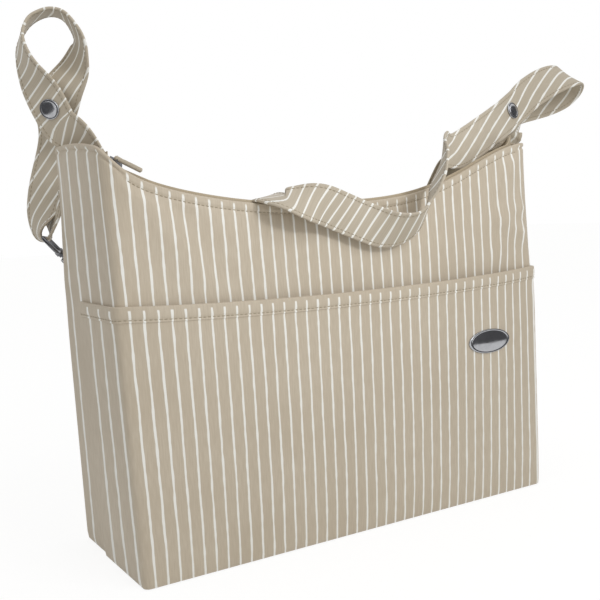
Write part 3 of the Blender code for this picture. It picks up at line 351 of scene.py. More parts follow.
@dataclass(frozen=True)
class PlatedSteel:
    """Stamped or drawn steel, polished and plated: mirror bright, with faint handling marks."""

    name: str
    colour: str
    worn: str
    roughness: float
    marks: float

    def build(self) -> bpy.types.Material:
        """Make the metal, a little duller where it has been handled.

        Returns:
            The material.
        """
        made, tree, shader = new_material(self.name)
        marks = cloud(tree, own_place(tree), 260.0, 5.0, roughness=0.65)
        rough = add_node(tree, "ShaderNodeMapRange", None,
                         {"Value": marks, "From Min": 0.35, "From Max": 0.75,
                          "To Min": self.roughness, "To Max": self.roughness + self.marks})
        set_inputs(tree, shader, {
            "Base Color": mixed(tree, marks, linear(self.colour), linear(self.worn)),
            "Normal": bump(tree, 0.12, 0.05 * MM, marks), "Roughness": rough.outputs[0],
            "Metallic": 1.0})
        return made


@dataclass(frozen=True)
class Finishes:
    """Every material of the bag."""

    cloth: bpy.types.Material
    strap: bpy.types.Material
    lining: bpy.types.Material
    tape: bpy.types.Material
    thread: bpy.types.Material
    coil: bpy.types.Material
    board: bpy.types.Material
    chrome: bpy.types.Material
    dark: bpy.types.Material

    @classmethod
    def made(cls) -> Finishes:
        """Build every finish once.

        Returns:
            The finishes.
        """
        return cls(
            cloth=StripedSatin().build(),
            strap=StripedSatin(name="woven_satin_strap_cover", ground="#C4B9A7",
                               shade="#B9AE9B", stripe_share=0.15, waver=0.05).build(),
            lining=PlainWeave("plain_woven_polyester", "#A89C86", "#978B75", 1.3 * MM).build(),
            tape=PlainWeave("woven_zip_tape", "#C4B69E", "#A5977F", 1.1 * MM).build(),
            thread=PlainWeave("spun_polyester_thread", "#AC9F88", "#988B74", 0.4 * MM,
                              0.7).build(),
            coil=PlainWeave("moulded_nylon_coil", "#BFB199", "#B0A289", 3 * MM, 0.38,
                            0.02 * MM).build(),
            board=PlainWeave("pressed_fibre_board", "#8B8880", "#7B7871", 2.0 * MM).build(),
            chrome=PlatedSteel("chrome_plated_steel", "#B9BABD", "#A4A5A9", 0.12, 0.14).build(),
            dark=PlatedSteel("black_nickel_plated_zinc", "#77777A", "#5E5E61", 0.2, 0.2).build(),
        )


# Mesh helpers

def link_object(name: str, data: bpy.types.ID) -> bpy.types.Object:
    """A new object in the scene.

    Args:
        name: The object's name.
        data: Its mesh, lamp or camera.

    Returns:
        The object.
    """
    made = bpy.data.objects.new(name, data)
    bpy.context.scene.collection.objects.link(made)
    return made


def placed(centre: Vector, axes: tuple[Vector, Vector, Vector]) -> Matrix:
    """The place with a centre and three directions at right angles."""
    return Matrix.Translation(centre) @ Matrix(axes).transposed().to_4x4()


def ahead(points: list[Vector], index: int) -> Vector:
    """From the point before one to the point after it, in a row of points."""
    return points[min(index + 1, len(points) - 1)] - points[max(index - 1, 0)]


def finished_mesh(name: str, mesh: bpy.types.Mesh, angle: float = 50) -> bpy.types.Mesh:
    """Turn a closed mesh's faces outwards and shade it smooth.

    Args:
        name: The mesh's name.
        mesh: The mesh, which is changed.
        angle: Edges sharper than this, in degrees, stay sharp.

    Returns:
        The same mesh.
    """
    source = bmesh.new()
    source.from_mesh(mesh)
    bmesh.ops.recalc_face_normals(source, faces=source.faces)
    source.to_mesh(mesh)
    source.free()
    mesh.name = name
    mesh.shade_smooth()
    mesh.set_sharp_from_angle(angle=math.radians(angle))
    return mesh


def loft(name: str, rings: list[list[Vector]], coords: list | None = None,
         plain: list | None = None, cyclic: bool = False, angle: float = 50) -> bpy.types.Mesh:
    """A closed skin through a row of rings.

    Args:
        name: The mesh's name.
        rings: Rings of the same number of points.
        coords: Cloth coordinates of each point; a cyclic skin has one more row of them.
        plain: How far each point is free of stripes.
        cyclic: Whether the last ring joins the first; otherwise both ends are capped.
        angle: Edges sharper than this, in degrees, stay sharp.

    Returns:
        The mesh.
    """
    count = len(rings[0])
    faces, places = [], []
    for index in range(len(rings) if cyclic else len(rings) - 1):
        low, high = index * count, (index + 1) % len(rings) * count
        for start in range(count):
            end = (start + 1) % count
            faces.append((low + start, low + end, high + end, high + start))
            places += [(index, start), (index, end), (index + 1, end), (index + 1, start)]
    if not cyclic:
        last = (len(rings) - 1) * count
        faces += [tuple(range(count - 1, -1, -1)), tuple(range(last, last + count))]
        places += [(0, start) for start in range(count - 1, -1, -1)]
        places += [(len(rings) - 1, start) for start in range(count)]
    mesh = bpy.data.meshes.new(name)
    mesh.from_pydata([point for ring in rings for point in ring], [], faces)
    if coords:
        layer = mesh.uv_layers.new(name=CLOTH_UV)
        layer.data.foreach_set("uv", [value for row, column in places
                                      for value in coords[row][column]])
    if plain:
        attribute = mesh.attributes.new(PLAIN, "FLOAT", "POINT")
        attribute.data.foreach_set("value", [value for row in plain for value in row])
    return finished_mesh(name, mesh, angle)


def add_piece(name: str, mesh: bpy.types.Mesh, finish: bpy.types.Material,
              nodes: tuple[str, ...] = (), body: str = "bag") -> bpy.types.Object:
    """Link a mesh as a piece of the bag, riding on its body.

    Args:
        name: The piece's name.
        mesh: Its mesh, in place.
        finish: Its material.
        nodes: The CAD nodes that the piece stands for.
        body: The CAD body that it rides on.

    Returns:
        The piece.
    """
    mesh.materials.clear()
    mesh.materials.append(finish)
    piece = link_object(name, mesh)
    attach(piece, body)
    if nodes:
        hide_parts(*nodes)
    LOG.info("%s: %d faces on %s", name, len(mesh.polygons), body)
    return piece


def turned_mesh(name: str, profile: list[tuple[float, float]], place: Matrix,
                steps: int = 48) -> bpy.types.Mesh:
    """A turned piece: rings of (radius, height) about the local Z axis, closed at both ends.

    Args:
        name: The mesh's name.
        profile: Radius and height of each ring, from the bottom.
        place: The piece's place.
        steps: Points of a ring.

    Returns:
        The mesh.
    """
    rings = []
    for radius, height in profile:
        rings.append([place @ Vector((radius * math.cos(math.tau * step / steps),
                                      radius * math.sin(math.tau * step / steps), height))
                      for step in range(steps)])
    return loft(name, rings, angle=40)


def dressed_node(node: str, name: str, finish: bpy.types.Material, body: str,
                 levels: int = 0, edge: float = 0.0) -> bpy.types.Object:
    """Stand a welded, smoothly shaded copy of a CAD node in for it.

    Args:
        node: The CAD node.
        name: The new piece's name.
        finish: Its material.
        body: The body that it rides on.
        levels: Levels of a Subdivision Surface.
        edge: Width of its rounded edges.

    Returns:
        The piece.
    """
    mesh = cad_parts[node].data.copy()
    source = bmesh.new()
    source.from_mesh(mesh)
    bmesh.ops.remove_doubles(source, verts=source.verts, dist=0.005 * MM)
    bmesh.ops.dissolve_limit(source, angle_limit=math.radians(1), verts=source.verts,
                             edges=source.edges)
    source.to_mesh(mesh)
    source.free()
    finished_mesh(name, mesh, 38)
    piece = add_piece(name, mesh, finish, (node,), body)
    if edge:
        rounded = piece.modifiers.new("Rounded", "BEVEL")
        rounded.width = edge
        rounded.segments = 3
        rounded.limit_method = "ANGLE"
    if levels:
        soft = piece.modifiers.new("Soft", "SUBSURF")
        soft.levels = levels
        soft.render_levels = levels
    return piece


# Rows of small repeated pieces

@dataclass(frozen=True)
class RowMaker:
    """Geometry Nodes that set small round-ended bars along routes: stitches or coil turns."""

    name: str
    spacing: float
    length: float
    radius: float
    jitter: float
    seed: int = 7

    def tree(self, finish: bpy.types.Material) -> bpy.types.NodeTree:
        """The node tree: resample each route, set a bar at each point, aim it and colour it.

        Args:
            finish: The bars' material.

        Returns:
            The tree.
        """
        tree = bpy.data.node_groups.new(self.name, "GeometryNodeTree")
        face = tree.interface
        face.new_socket("Geometry", in_out="INPUT", socket_type="NodeSocketGeometry")
        for label in ("Spacing", "Bar Length", "Bar Radius", "Jitter"):
            face.new_socket(label, in_out="INPUT", socket_type="NodeSocketFloat")
        face.new_socket("Seed", in_out="INPUT", socket_type="NodeSocketInt")
        face.new_socket("Geometry", in_out="OUTPUT", socket_type="NodeSocketGeometry")
        given = add_node(tree, "NodeGroupInput").outputs
        curve = add_node(tree, "GeometryNodeMeshToCurve", None, {0: given["Geometry"]})
        even = add_node(tree, "GeometryNodeResampleCurve", {"mode": "LENGTH"},
                        {"Curve": curve.outputs[0], "Length": given["Spacing"]})
        size = add_node(tree, "ShaderNodeCombineXYZ", None,
                        {0: maths(tree, "MULTIPLY", given["Bar Length"], 0.5),
                         1: given["Bar Radius"], 2: given["Bar Radius"]})
        ball = add_node(tree, "GeometryNodeMeshUVSphere", None,
                        {"Segments": 6, "Rings": 5, "Radius": 1.0})
        turned = add_node(tree, "GeometryNodeTransform", None,
                          {"Geometry": ball.outputs[0], "Rotation": (0, math.pi / 2, 0)})
        bar = add_node(tree, "GeometryNodeTransform", None,
                       {"Geometry": turned.outputs[0], "Scale": size.outputs[0]})
        aim = add_node(tree, "GeometryNodeInputNamedAttribute", {"data_type": "FLOAT_VECTOR"},
                       {"Name": AIM})
        low, high = (add_node(tree, "ShaderNodeVectorMath", {"operation": "SCALE"},
                              {0: (sign, sign, sign), "Scale": given["Jitter"]}).outputs[0]
                     for sign in (-1.0, 1.0))
        stray = add_node(tree, "FunctionNodeRandomValue", {"data_type": "FLOAT_VECTOR"},
                         {"Min": low, "Max": high, "Seed": given["Seed"]})
        wanted = add_node(tree, "ShaderNodeVectorMath", {"operation": "ADD"},
                          {0: aim.outputs[0], 1: stray.outputs[0]})
        turn = add_node(tree, "FunctionNodeAlignRotationToVector", {"axis": "X"},
                        {"Vector": wanted.outputs[0]})
        bars = add_node(tree, "GeometryNodeInstanceOnPoints", None,
                        {"Points": even.outputs[0], "Instance": bar.outputs[0],
                         "Rotation": turn.outputs[0]})
        real = add_node(tree, "GeometryNodeRealizeInstances", None, {0: bars.outputs[0]})
        smooth = add_node(tree, "GeometryNodeSetShadeSmooth", None, {0: real.outputs[0]})
        coloured = add_node(tree, "GeometryNodeSetMaterial", None,
                            {"Geometry": smooth.outputs[0], "Material": finish})
        add_node(tree, "NodeGroupOutput", None, {0: coloured.outputs[0]})
        return tree

    def mesh(self, routes: list[Route], finish: bpy.types.Material) -> bpy.types.Mesh:
        """Run the tree over routes.

        Args:
            routes: Rows of points, each with the direction its bar lies in.
            finish: The bars' material.

        Returns:
            The bars as one plain mesh.
        """
        points = [point for route in routes for point, _ in route]
        edges, first = [], 0
        for route in routes:
            edges += [(first + step, first + step + 1) for step in range(len(route) - 1)]
            first += len(route)
        guide = bpy.data.meshes.new(self.name + "_guide")
        guide.from_pydata(points, edges, [])
        aims = guide.attributes.new(AIM, "FLOAT_VECTOR", "POINT")
        aims.data.foreach_set("vector", [value for route in routes for _, aim in route
                                         for value in aim])
        holder = link_object(self.name + "_guide", guide)
        tree = self.tree(finish)
        modifier = holder.modifiers.new("Bars", "NODES")
        modifier.node_group = tree
        values = {"Spacing": self.spacing, "Bar Length": self.length, "Bar Radius": self.radius,
                  "Jitter": self.jitter, "Seed": self.seed}
        for item in tree.interface.items_tree:
            if item.in_out == "INPUT" and item.name in values:
                modifier[item.identifier] = values[item.name]
        bpy.context.view_layer.update()
        evaluated = holder.evaluated_get(bpy.context.evaluated_depsgraph_get())
        mesh = bpy.data.meshes.new_from_object(evaluated)
        bpy.data.objects.remove(holder, do_unlink=True)
        bpy.data.meshes.remove(guide)
        return mesh

    def add(self, name: str, routes: list[Route], finish: bpy.types.Material, slot: Slot) -> None:
        """Add a piece made of the bars along routes."""
        add_piece(name, self.mesh(routes, finish), finish)


def stitch_route(points: list[Vector]) -> Route:
    """Points of a seam, each with the direction that its thread lies in.

    Args:
        points: The seam's points in order.

    Returns:
        The route.
    """
    route = []
    for index, point in enumerate(points):
        route.append((point, ahead(points, index).normalized()))
    return route


SEAM = RowMaker("seam_stitches", spacing=3.4 * MM, length=2.5 * MM, radius=0.34 * MM, jitter=0.05)
COIL = RowMaker("coil_turns", spacing=1.25 * MM, length=2.4 * MM, radius=0.46 * MM, jitter=0.02)


# Outline of the body

@dataclass(frozen=True)
class Stop:
    """One place along the bag's outline.

    A front or back stop's share runs from left (-1) to right (1), a side's from front (-1)
    to back (1), and a corner's is its angle in degrees from the side to the face.
    """

    face: Face
    share: float
    side: int = 0
    depth: int = 0


@dataclass(frozen=True)
class BagOutline:
    """Sizes of the sewn body and the surfaces that its cloth pieces share."""

    top_width: float = 380 * MM
    base_width: float = 364 * MM
    top_depth: float = 110 * MM
    base_depth: float = 126 * MM
    front_corner: float = 296 * MM
    back_corner: float = 302 * MM
    rim_low: float = 251.5 * MM
    rim_low_x: float = -30 * MM
    rim_left_share: float = 0.63
    rim_left_powers: tuple[int, int] = (2, 12)
    rim_right_power: float = 1.7
    back_right_power: float = 12.0
    gusset_crown: float = 4 * MM
    wall: float = 2.4 * MM
    bulge: float = 3 * MM
    seam_gap: float = 0.3 * MM
    seam_lift: float = 0.6 * MM
    low_corner: float = 3 * MM
    high_corner: float = 14 * MM
    soft_from: float = 150 * MM
    front_stripes: float = 40.0
    first_stripe: float = 0.30
    side_stripe_pitch: float = 24.7 * MM
    stripe_pitch: float = 9.1 * MM

    def half_width(self, z: float) -> float:
        """Half the body's width at a height."""
        return blend(self.base_width, self.top_width, z / self.front_corner) / 2

    def half_depth(self, z: float) -> float:
        """Half the body's depth at a height."""
        return blend(self.base_depth, self.top_depth, z / self.front_corner) / 2

    def inner_half_width(self, z: float) -> float:
        """Half the width between the inner faces of the sides."""
        return self.half_width(z) - self.wall - self.seam_gap

    def inner_half_depth(self, z: float) -> float:
        """Half the depth between the inner faces of the front and back."""
        return self.half_depth(z) - self.wall - self.seam_gap

    def rim_height(self, x: float, corner_height: float) -> float:
        """Height of an upper edge, low in the middle, whose corners reach a given height.

        Args:
            x: Place across the bag.
            corner_height: Height of the edge at both corners.

        Returns:
            The height.
        """
        left = x < self.rim_low_x
        reach = self.top_width / 2 + (self.rim_low_x if left else -self.rim_low_x)
        share = min(abs(x - self.rim_low_x) / reach, 1.0)
        if left:
            slope, hook = self.rim_left_powers
            rise = blend(share ** hook, share ** slope, self.rim_left_share)
        else:
            back = (corner_height - self.front_corner) / (self.back_corner - self.front_corner)
            power = blend(self.rim_right_power, self.back_right_power, back)
            rise = (1 - math.cos(math.pi * share ** power)) / 2
        return self.rim_low + (corner_height - self.rim_low) * rise

    def corner_radius(self, z: float) -> float:
        """Radius of the upright corners, which soften above the pocket."""
        return blend(self.low_corner, self.high_corner,
                     ramp(self.soft_from, self.front_corner, z))

    def swell(self, across: float, up: float) -> float:
        """How far a big panel swells out; across runs from -1 to 1 and up from 0 to 1."""
        up = max(0.0, min(up, 1.0))
        return self.bulge * (1 - across ** 4) * math.sin(math.pi * up) ** 0.8

    def rim(self, stop: Stop) -> float:
        """Height of the upper edge at a stop.

        Args:
            stop: The place along the outline.

        Returns:
            The height.
        """
        flat = self.top_width / 2 - self.high_corner
        if stop.face is Face.FRONT:
            return self.rim_height(stop.share * flat, self.front_corner)
        if stop.face is Face.BACK:
            return self.rim_height(stop.share * flat, self.back_corner)
        if stop.face is Face.CORNER:
            x = stop.side * (flat + self.high_corner * math.cos(math.radians(stop.share)))
            return self.rim_height(x, self.front_corner if stop.depth < 0 else self.back_corner)
        crown = self.gusset_crown * (1 - stop.share ** 2) * 0.5
        return blend(self.front_corner, self.back_corner, (stop.share + 1) / 2) + crown

    def spot(self, stop: Stop, z: float) -> tuple[Vector, Vector]:
        """The outline's point at a stop and height, with its outward direction.

        Args:
            stop: The place along the outline.
            z: The height.

        Returns:
            The point and its outward direction.
        """
        wide, deep, turn = self.half_width(z), self.half_depth(z), self.corner_radius(z)
        if stop.face in (Face.FRONT, Face.BACK):
            sign = -1 if stop.face is Face.FRONT else 1
            up = (z - self.seam_lift) / (self.rim(stop) - self.seam_lift)
            y = sign * (deep + self.swell(stop.share, up))
            return Vector((stop.share * (wide - turn), y, z)), Y_AXIS * sign
        if stop.face is Face.CORNER:
            angle = math.radians(stop.share)
            out = Vector((stop.side * math.cos(angle), stop.depth * math.sin(angle), 0))
            centre = Vector((stop.side * (wide - turn), stop.depth * (deep - turn), z))
            return centre + out * turn, out
        sign = -1 if stop.face is Face.LEFT else 1
        return Vector((sign * wide, stop.share * (deep - turn), z)), X_AXIS * sign

    def phase(self, stop: Stop, z: float) -> float:
        """The number of pinstripes from the front left corner to a stop, at a height.

        Args:
            stop: The place along the outline.
            z: The height.

        Returns:
            The number of pinstripes, below zero round the back.
        """
        turn = self.corner_radius(z)
        side = self.base_depth / self.side_stripe_pitch
        left, right = self.first_stripe, self.first_stripe + self.front_stripes
        across = stop.share * (1 - turn / self.half_width(z))
        along = stop.share * (1 - turn / self.half_depth(z))
        if stop.face is Face.FRONT:
            return blend(left, right, (across + 1) / 2)
        if stop.face is Face.LEFT:
            return left - side * (along + 1) / 2
        if stop.face is Face.RIGHT:
            return right + side * (along + 1) / 2
        if stop.face is Face.BACK:
            return left - side - self.front_stripes * (across + 1) / 2
        upright = Stop(Face.LEFT if stop.side < 0 else Face.RIGHT, stop.depth)
        flat = Stop(Face.FRONT if stop.depth < 0 else Face.BACK, stop.side)
        end = self.phase(flat, z)
        if stop.side > 0 and stop.depth > 0:
            start = end - turn / self.side_stripe_pitch - turn / self.stripe_pitch
        else:
            start = self.phase(upright, z)
        return blend(start, end, stop.share / 90)

    def corner(self, side: int, depth: int, rising: bool, steps: int = 5) -> list[Stop]:
        """Stops round one corner, from the side to the face if rising."""
        turns = [90 * step / (steps - 1) for step in range(steps)]
        return [Stop(Face.CORNER, turn, side, depth) for turn in (turns if rising
                                                                  else reversed(turns))]

    def run(self, face: Face, steps: int, start: float = -1.0, end: float = 1.0) -> list[Stop]:
        """Stops along a face between two shares, without its ends."""
        return [Stop(face, blend(start, end, step / steps)) for step in range(1, steps)]


OUTLINE = BagOutline()


# Sewn cloth

ROLL = tuple(math.radians(turn) for turn in (30, 60, 90, 120, 150, 180))


@dataclass
class BodyCloth:
    """The outer cloth of the bag: one skin round the front, sides and back, with its hem."""

    finishes: Finishes
    stitch_drop: float = 6.4 * MM
    hem_puff: float = 0.35 * MM
    groove: float = 0.5 * MM
    seam_reach: float = 1 * MM
    pucker: Waves = ((0.35 * MM, 6 * MM, 0, 5),)
    pucker_reach: float = 6 * MM
    foot_sink: float = 1.1 * MM
    foot_reach: float = 2.2 * MM
    face_steps: int = 236
    side_steps: int = 66
    low_rows: int = 56
    hem_rows: int = 14
    hem_height: float = 14 * MM
    inner_rows: tuple[float, ...] = (160 * MM, 80 * MM)
    side_stitch_drop: float = 4.2 * MM
    pocket_top: float = 190 * MM
    waves: Waves = ((1.1 * MM, 60 * MM, 0.5, 3), (0.5 * MM, 24 * MM, 0.6, 9))
    left_fold: Triple = (2.2 * MM, 34 * MM, 13 * MM)
    left_hollow: Triple = (-1.3 * MM, 56 * MM, 12 * MM)
    left_lean: tuple[float, float] = (0.55, 250 * MM)
    right_fold: Triple = (2.6 * MM, 34 * MM, 9 * MM)
    right_lean: tuple[float, float] = (0.25, 240 * MM)
    left_fold_full: float = 235 * MM
    corner_folds: tuple[tuple[float, ...], ...] = (
        (3.8 * MM, 246 * MM, -0.3, 7 * MM, 34 * MM),
        (3.2 * MM, 214 * MM, 0.4, 8 * MM, 40 * MM))

    def stops(self) -> list[Stop]:
        """The whole outline, from the back's right corner over the left to the right side.

        Returns:
            The stops in order.
        """
        return (OUTLINE.corner(1, 1, True) + OUTLINE.run(Face.BACK, self.face_steps, 1, -1)
                + OUTLINE.corner(-1, 1, False) + OUTLINE.run(Face.LEFT, self.side_steps, 1, -1)
                + OUTLINE.corner(-1, -1, True) + OUTLINE.run(Face.FRONT, self.face_steps)
                + OUTLINE.corner(1, -1, False) + OUTLINE.run(Face.RIGHT, self.side_steps))

    def folds(self, stop: Stop, point: Vector, top: float) -> float:
        """Soft folds of the cloth above the pocket, in metres outwards.

        Args:
            stop: The place along the outline.
            point: The point of the outline there.
            top: Height of the rim there.

        Returns:
            The distance outwards.
        """
        low = ramp(self.pocket_top - 4 * MM, self.pocket_top + 18 * MM, point.z)
        if stop.face is Face.BACK:
            low = ramp(0, 40 * MM, point.z)
        high = 1 - ramp(top - 16 * MM, top - 7 * MM, point.z)
        wave = ripples(point, self.waves)
        if stop.face is Face.FRONT:
            # One leaning fold with a hollow by it, an upright one, and a fan at the right corner
            slope, middle = self.left_lean
            left = point.x + OUTLINE.top_width / 2 + slope * (point.z - middle)
            tall, start, wide = self.left_fold
            rise = ramp(self.pocket_top, self.left_fold_full, point.z)
            wave += tall * bell(left - start, wide) * rise
            tall, start, wide = self.left_hollow
            wave += tall * bell(left - start, wide)
            near = OUTLINE.top_width / 2 - point.x
            slope, middle = self.right_lean
            tall, start, wide = self.right_fold
            wave += tall * bell(near - start + slope * (point.z - middle), wide)
            for tall, start, slope, wide, reach in self.corner_folds:
                wave += tall * bell(point.z - start - slope * near, wide) * bell(near, reach)
        return max(wave * low * high, -1.4 * MM)

    def relief(self, stop: Stop, point: Vector, top: float) -> float:
        """How far the outer face stands off the outline at a point.

        Args:
            stop: The place along the outline.
            point: The point of the outline there.
            top: Height of the rim there.

        Returns:
            The distance outwards.
        """
        below = top - point.z
        seam = (self.stitch_drop if stop.face in (Face.FRONT, Face.BACK)
                else self.side_stitch_drop)
        relief = self.folds(stop, point, top)
        deep = self.groove if seam == self.stitch_drop else 2 * self.groove
        relief -= deep * bell(below - seam, self.seam_reach)
        relief += self.hem_puff * (1 - ramp(seam - 1.5 * MM, seam, below))
        relief += ripples(point, self.pucker) * bell(below - seam, self.pucker_reach)
        return relief - self.foot_sink * math.exp(-point.z / self.foot_reach)

    def outer(self, stop: Stop, z: float) -> Vector:
        """A point of the outer face."""
        point, out = OUTLINE.spot(stop, z)
        return point + out * self.relief(stop, point, OUTLINE.rim(stop))

    def section(self, stop: Stop) -> Section:
        """One upright section through the cloth, with its coordinates and plain parts.

        Args:
            stop: The place along the outline.

        Returns:
            The section, from the outer face's foot over the rim and down.
        """
        top = OUTLINE.rim(stop)
        half = OUTLINE.wall / 2
        hem = top - self.hem_height
        heights = [blend(OUTLINE.seam_lift, hem, step / self.low_rows)
                   for step in range(self.low_rows)]
        heights += [blend(hem, top - half, step / self.hem_rows)
                    for step in range(self.hem_rows + 1)]
        points = [self.outer(stop, z) for z in heights]
        plain = [ramp(top - 2.4 * MM, top - 1.6 * MM, z) for z in heights]
        crest, out = OUTLINE.spot(stop, top - half)
        for angle in ROLL:
            puffed = self.hem_puff * (1 + math.cos(angle)) / 2
            points.append(crest + out * (half * (math.cos(angle) - 1) + puffed)
                          + Z_AXIS * half * math.sin(angle))
            plain.append(1.0)
        for z in (hem, *self.inner_rows, OUTLINE.seam_lift):
            point, out = OUTLINE.spot(stop, z)
            points.append(point - out * OUTLINE.wall)
            plain.append(1.0)
        return points, [(OUTLINE.phase(stop, point.z), point.z) for point in points], plain

    def hem_route(self, face: Face) -> Route:
        """The stitches of the hem along one face.

        Args:
            face: The front or the back.

        Returns:
            The stitches' route.
        """
        points = []
        for stop in OUTLINE.run(face, 260, -0.985, 0.985):
            point = self.outer(stop, OUTLINE.rim(stop) - self.stitch_drop)
            points.append(point + OUTLINE.spot(stop, point.z)[1] * 0.12 * MM)
        return stitch_route(points)

    def build(self) -> None:
        """Make the skin and its hem stitches."""
        sections = [self.section(stop) for stop in self.stops()]
        points, coords, plain = (list(rows) for rows in zip(*sections))
        last = Stop(Face.RIGHT, 1.0)
        coords.append([(OUTLINE.phase(last, along), along) for _, along in coords[0]])
        mesh = loft("body_cloth", points, coords, plain, cyclic=True)
        add_piece("body_cloth", mesh, self.finishes.cloth,
                  ("front_panel", "back_panel", "left_gusset", "right_gusset"))
        routes = [self.hem_route(Face.FRONT), self.hem_route(Face.BACK)]
        SEAM.add("rim_stitches", routes, self.finishes.thread, Slot.CLOTH)


@dataclass
class FrontPocket:
    """The pocket cloth, wrapped over the front and on to both sides, with its folded hem."""

    finishes: Finishes
    height: float = 190.5 * MM
    sag: float = 5 * MM
    ease: float = 5.2 * MM
    cloth: float = 1.4 * MM
    hem_height: float = 11 * MM
    hem_extra: float = 0.9 * MM
    side_reach: float = 78 * MM
    stitch_rise: float = 1.9 * MM
    fullness: float = 0.6 * MM
    waves: Waves = ((0.6 * MM, 70 * MM, 0.45, 13), (0.25 * MM, 22 * MM, 0.6, 21))
    pucker: Waves = ((0.3 * MM, 7 * MM, 0, 33),)
    pucker_reach: float = 9 * MM
    settle_height: float = 30 * MM
    mouth_roll: float = 0.9 * MM
    rows: int = 52
    hem_rows: int = 12
    inner_rows: int = 8
    seam_rows: tuple[float, ...] = (-2, -0.8, -0.1, 0.3, 0.7)

    def top(self, stop: Stop) -> float:
        """Height of the mouth at a stop, a little lower in the middle of the front."""
        if stop.face is Face.FRONT:
            return self.height - self.sag * (1 - stop.share ** 2)
        return self.height

    def gap(self, stop: Stop, z: float) -> float:
        """Room between the bag and the pocket's inner face."""
        slack = self.ease * (1 - stop.share ** 6) if stop.face is Face.FRONT else 0.0
        return OUTLINE.seam_gap + slack * z / self.top(stop)

    def stops(self) -> list[Stop]:
        """The pocket's run, from the left side over the front to the right side.

        Returns:
            The stops in order.
        """
        reach = -1 + 2 * self.side_reach / OUTLINE.base_depth
        left = [Stop(Face.LEFT, reach)] + OUTLINE.run(Face.LEFT, 44, reach, -1)
        right = OUTLINE.run(Face.RIGHT, 44, -1, reach) + [Stop(Face.RIGHT, reach)]
        return (left + OUTLINE.corner(-1, -1, True) + OUTLINE.run(Face.FRONT, 250)
                + OUTLINE.corner(1, -1, False) + right)

    def folds(self, stop: Stop, point: Vector, below: float) -> float:
        """Soft waves of the pocket cloth, in metres outwards.

        Args:
            stop: The place along the outline.
            point: The point of the outline there.
            below: Distance below the mouth.

        Returns:
            The distance outwards.
        """
        wave = self.fullness + ripples(point, self.waves)
        pucker = ripples(point, self.pucker) * bell(below - self.hem_height, self.pucker_reach)
        settle = ramp(0, self.settle_height, point.z)
        if stop.face is not Face.FRONT:
            settle *= 0.5
        return wave * settle + pucker

    def thickness(self, below: float) -> float:
        """Thickness of the cloth at a distance below the mouth.

        Args:
            below: Distance below the mouth.

        Returns:
            The thickness.
        """
        rise = self.hem_height - below
        hem = self.hem_extra * ramp(-0.2 * MM, 0.5 * MM, rise)
        hem -= 0.5 * MM * bell(rise - self.stitch_rise, 0.9 * MM)
        hem += 0.35 * MM * bell(rise - 6 * MM, 3.5 * MM)
        return self.cloth + hem

    def outer(self, stop: Stop, z: float) -> Vector:
        """A point of the outer face.

        Args:
            stop: The place along the outline.
            z: The height.

        Returns:
            The point.
        """
        point, out = OUTLINE.spot(stop, z)
        below = self.top(stop) - z
        stand = self.gap(stop, z) + self.thickness(below) + self.folds(stop, point, below)
        stand -= 0.7 * MM * math.exp(-z / (2.5 * MM))
        return point + out * stand

    def section(self, stop: Stop) -> Section:
        """One upright section through the pocket cloth.

        Args:
            stop: The place along the outline.

        Returns:
            The section, from the outer face's foot over the mouth.
        """
        top = self.top(stop)
        half = self.mouth_roll
        hem = top - self.hem_height
        heights = [blend(OUTLINE.seam_lift, hem - 2 * MM, step / self.rows)
                   for step in range(self.rows)]
        heights += [hem + rise * MM for rise in self.seam_rows]
        heights += [blend(hem + 1.2 * MM, top - half, step / self.hem_rows)
                    for step in range(self.hem_rows + 1)]
        points = [self.outer(stop, z) for z in heights]
        plain = [ramp(top - 3.2 * MM, top - 2.6 * MM, z) for z in heights]
        inner, out = OUTLINE.spot(stop, top - half)
        inner += out * self.gap(stop, top)
        crest = (points[-1] + inner) / 2
        reach = (points[-1] - inner).length / 2
        for angle in ROLL:
            points.append(crest + out * reach * math.cos(angle) + Z_AXIS * half * math.sin(angle))
            plain.append(1.0)
        for step in range(self.inner_rows, -1, -1):
            z = blend(OUTLINE.seam_lift, top - 4 * MM, step / self.inner_rows)
            point, out = OUTLINE.spot(stop, z)
            points.append(point + out * self.gap(stop, z))
            plain.append(1.0)
        return points, [(OUTLINE.phase(stop, point.z), point.z) for point in points], plain

    def build(self) -> None:
        """Make the pocket and its hem stitches."""
        stops = self.stops()
        mesh = loft("pocket_cloth", *(list(rows) for rows in zip(*map(self.section, stops))))
        add_piece("pocket_cloth", mesh, self.finishes.cloth, ("front_pocket",))
        row = []
        for stop in stops[1:-1]:
            z = self.top(stop) - self.hem_height + self.stitch_rise
            row.append(self.outer(stop, z) + OUTLINE.spot(stop, z)[1] * 0.1 * MM)
        SEAM.add("pocket_stitches", [stitch_route(row)], self.finishes.thread, Slot.CLOTH)

    def face(self, x: float, z: float) -> Vector:
        """The CAD pocket's outer face at a place on the front, where the badge sits.

        Args:
            x: Place across the front.
            z: The height.

        Returns:
            The point.
        """
        stop = Stop(Face.FRONT, x / OUTLINE.half_width(z))
        point, out = OUTLINE.spot(stop, z)
        point.x = x
        return point + out * (self.gap(stop, z) + self.cloth)


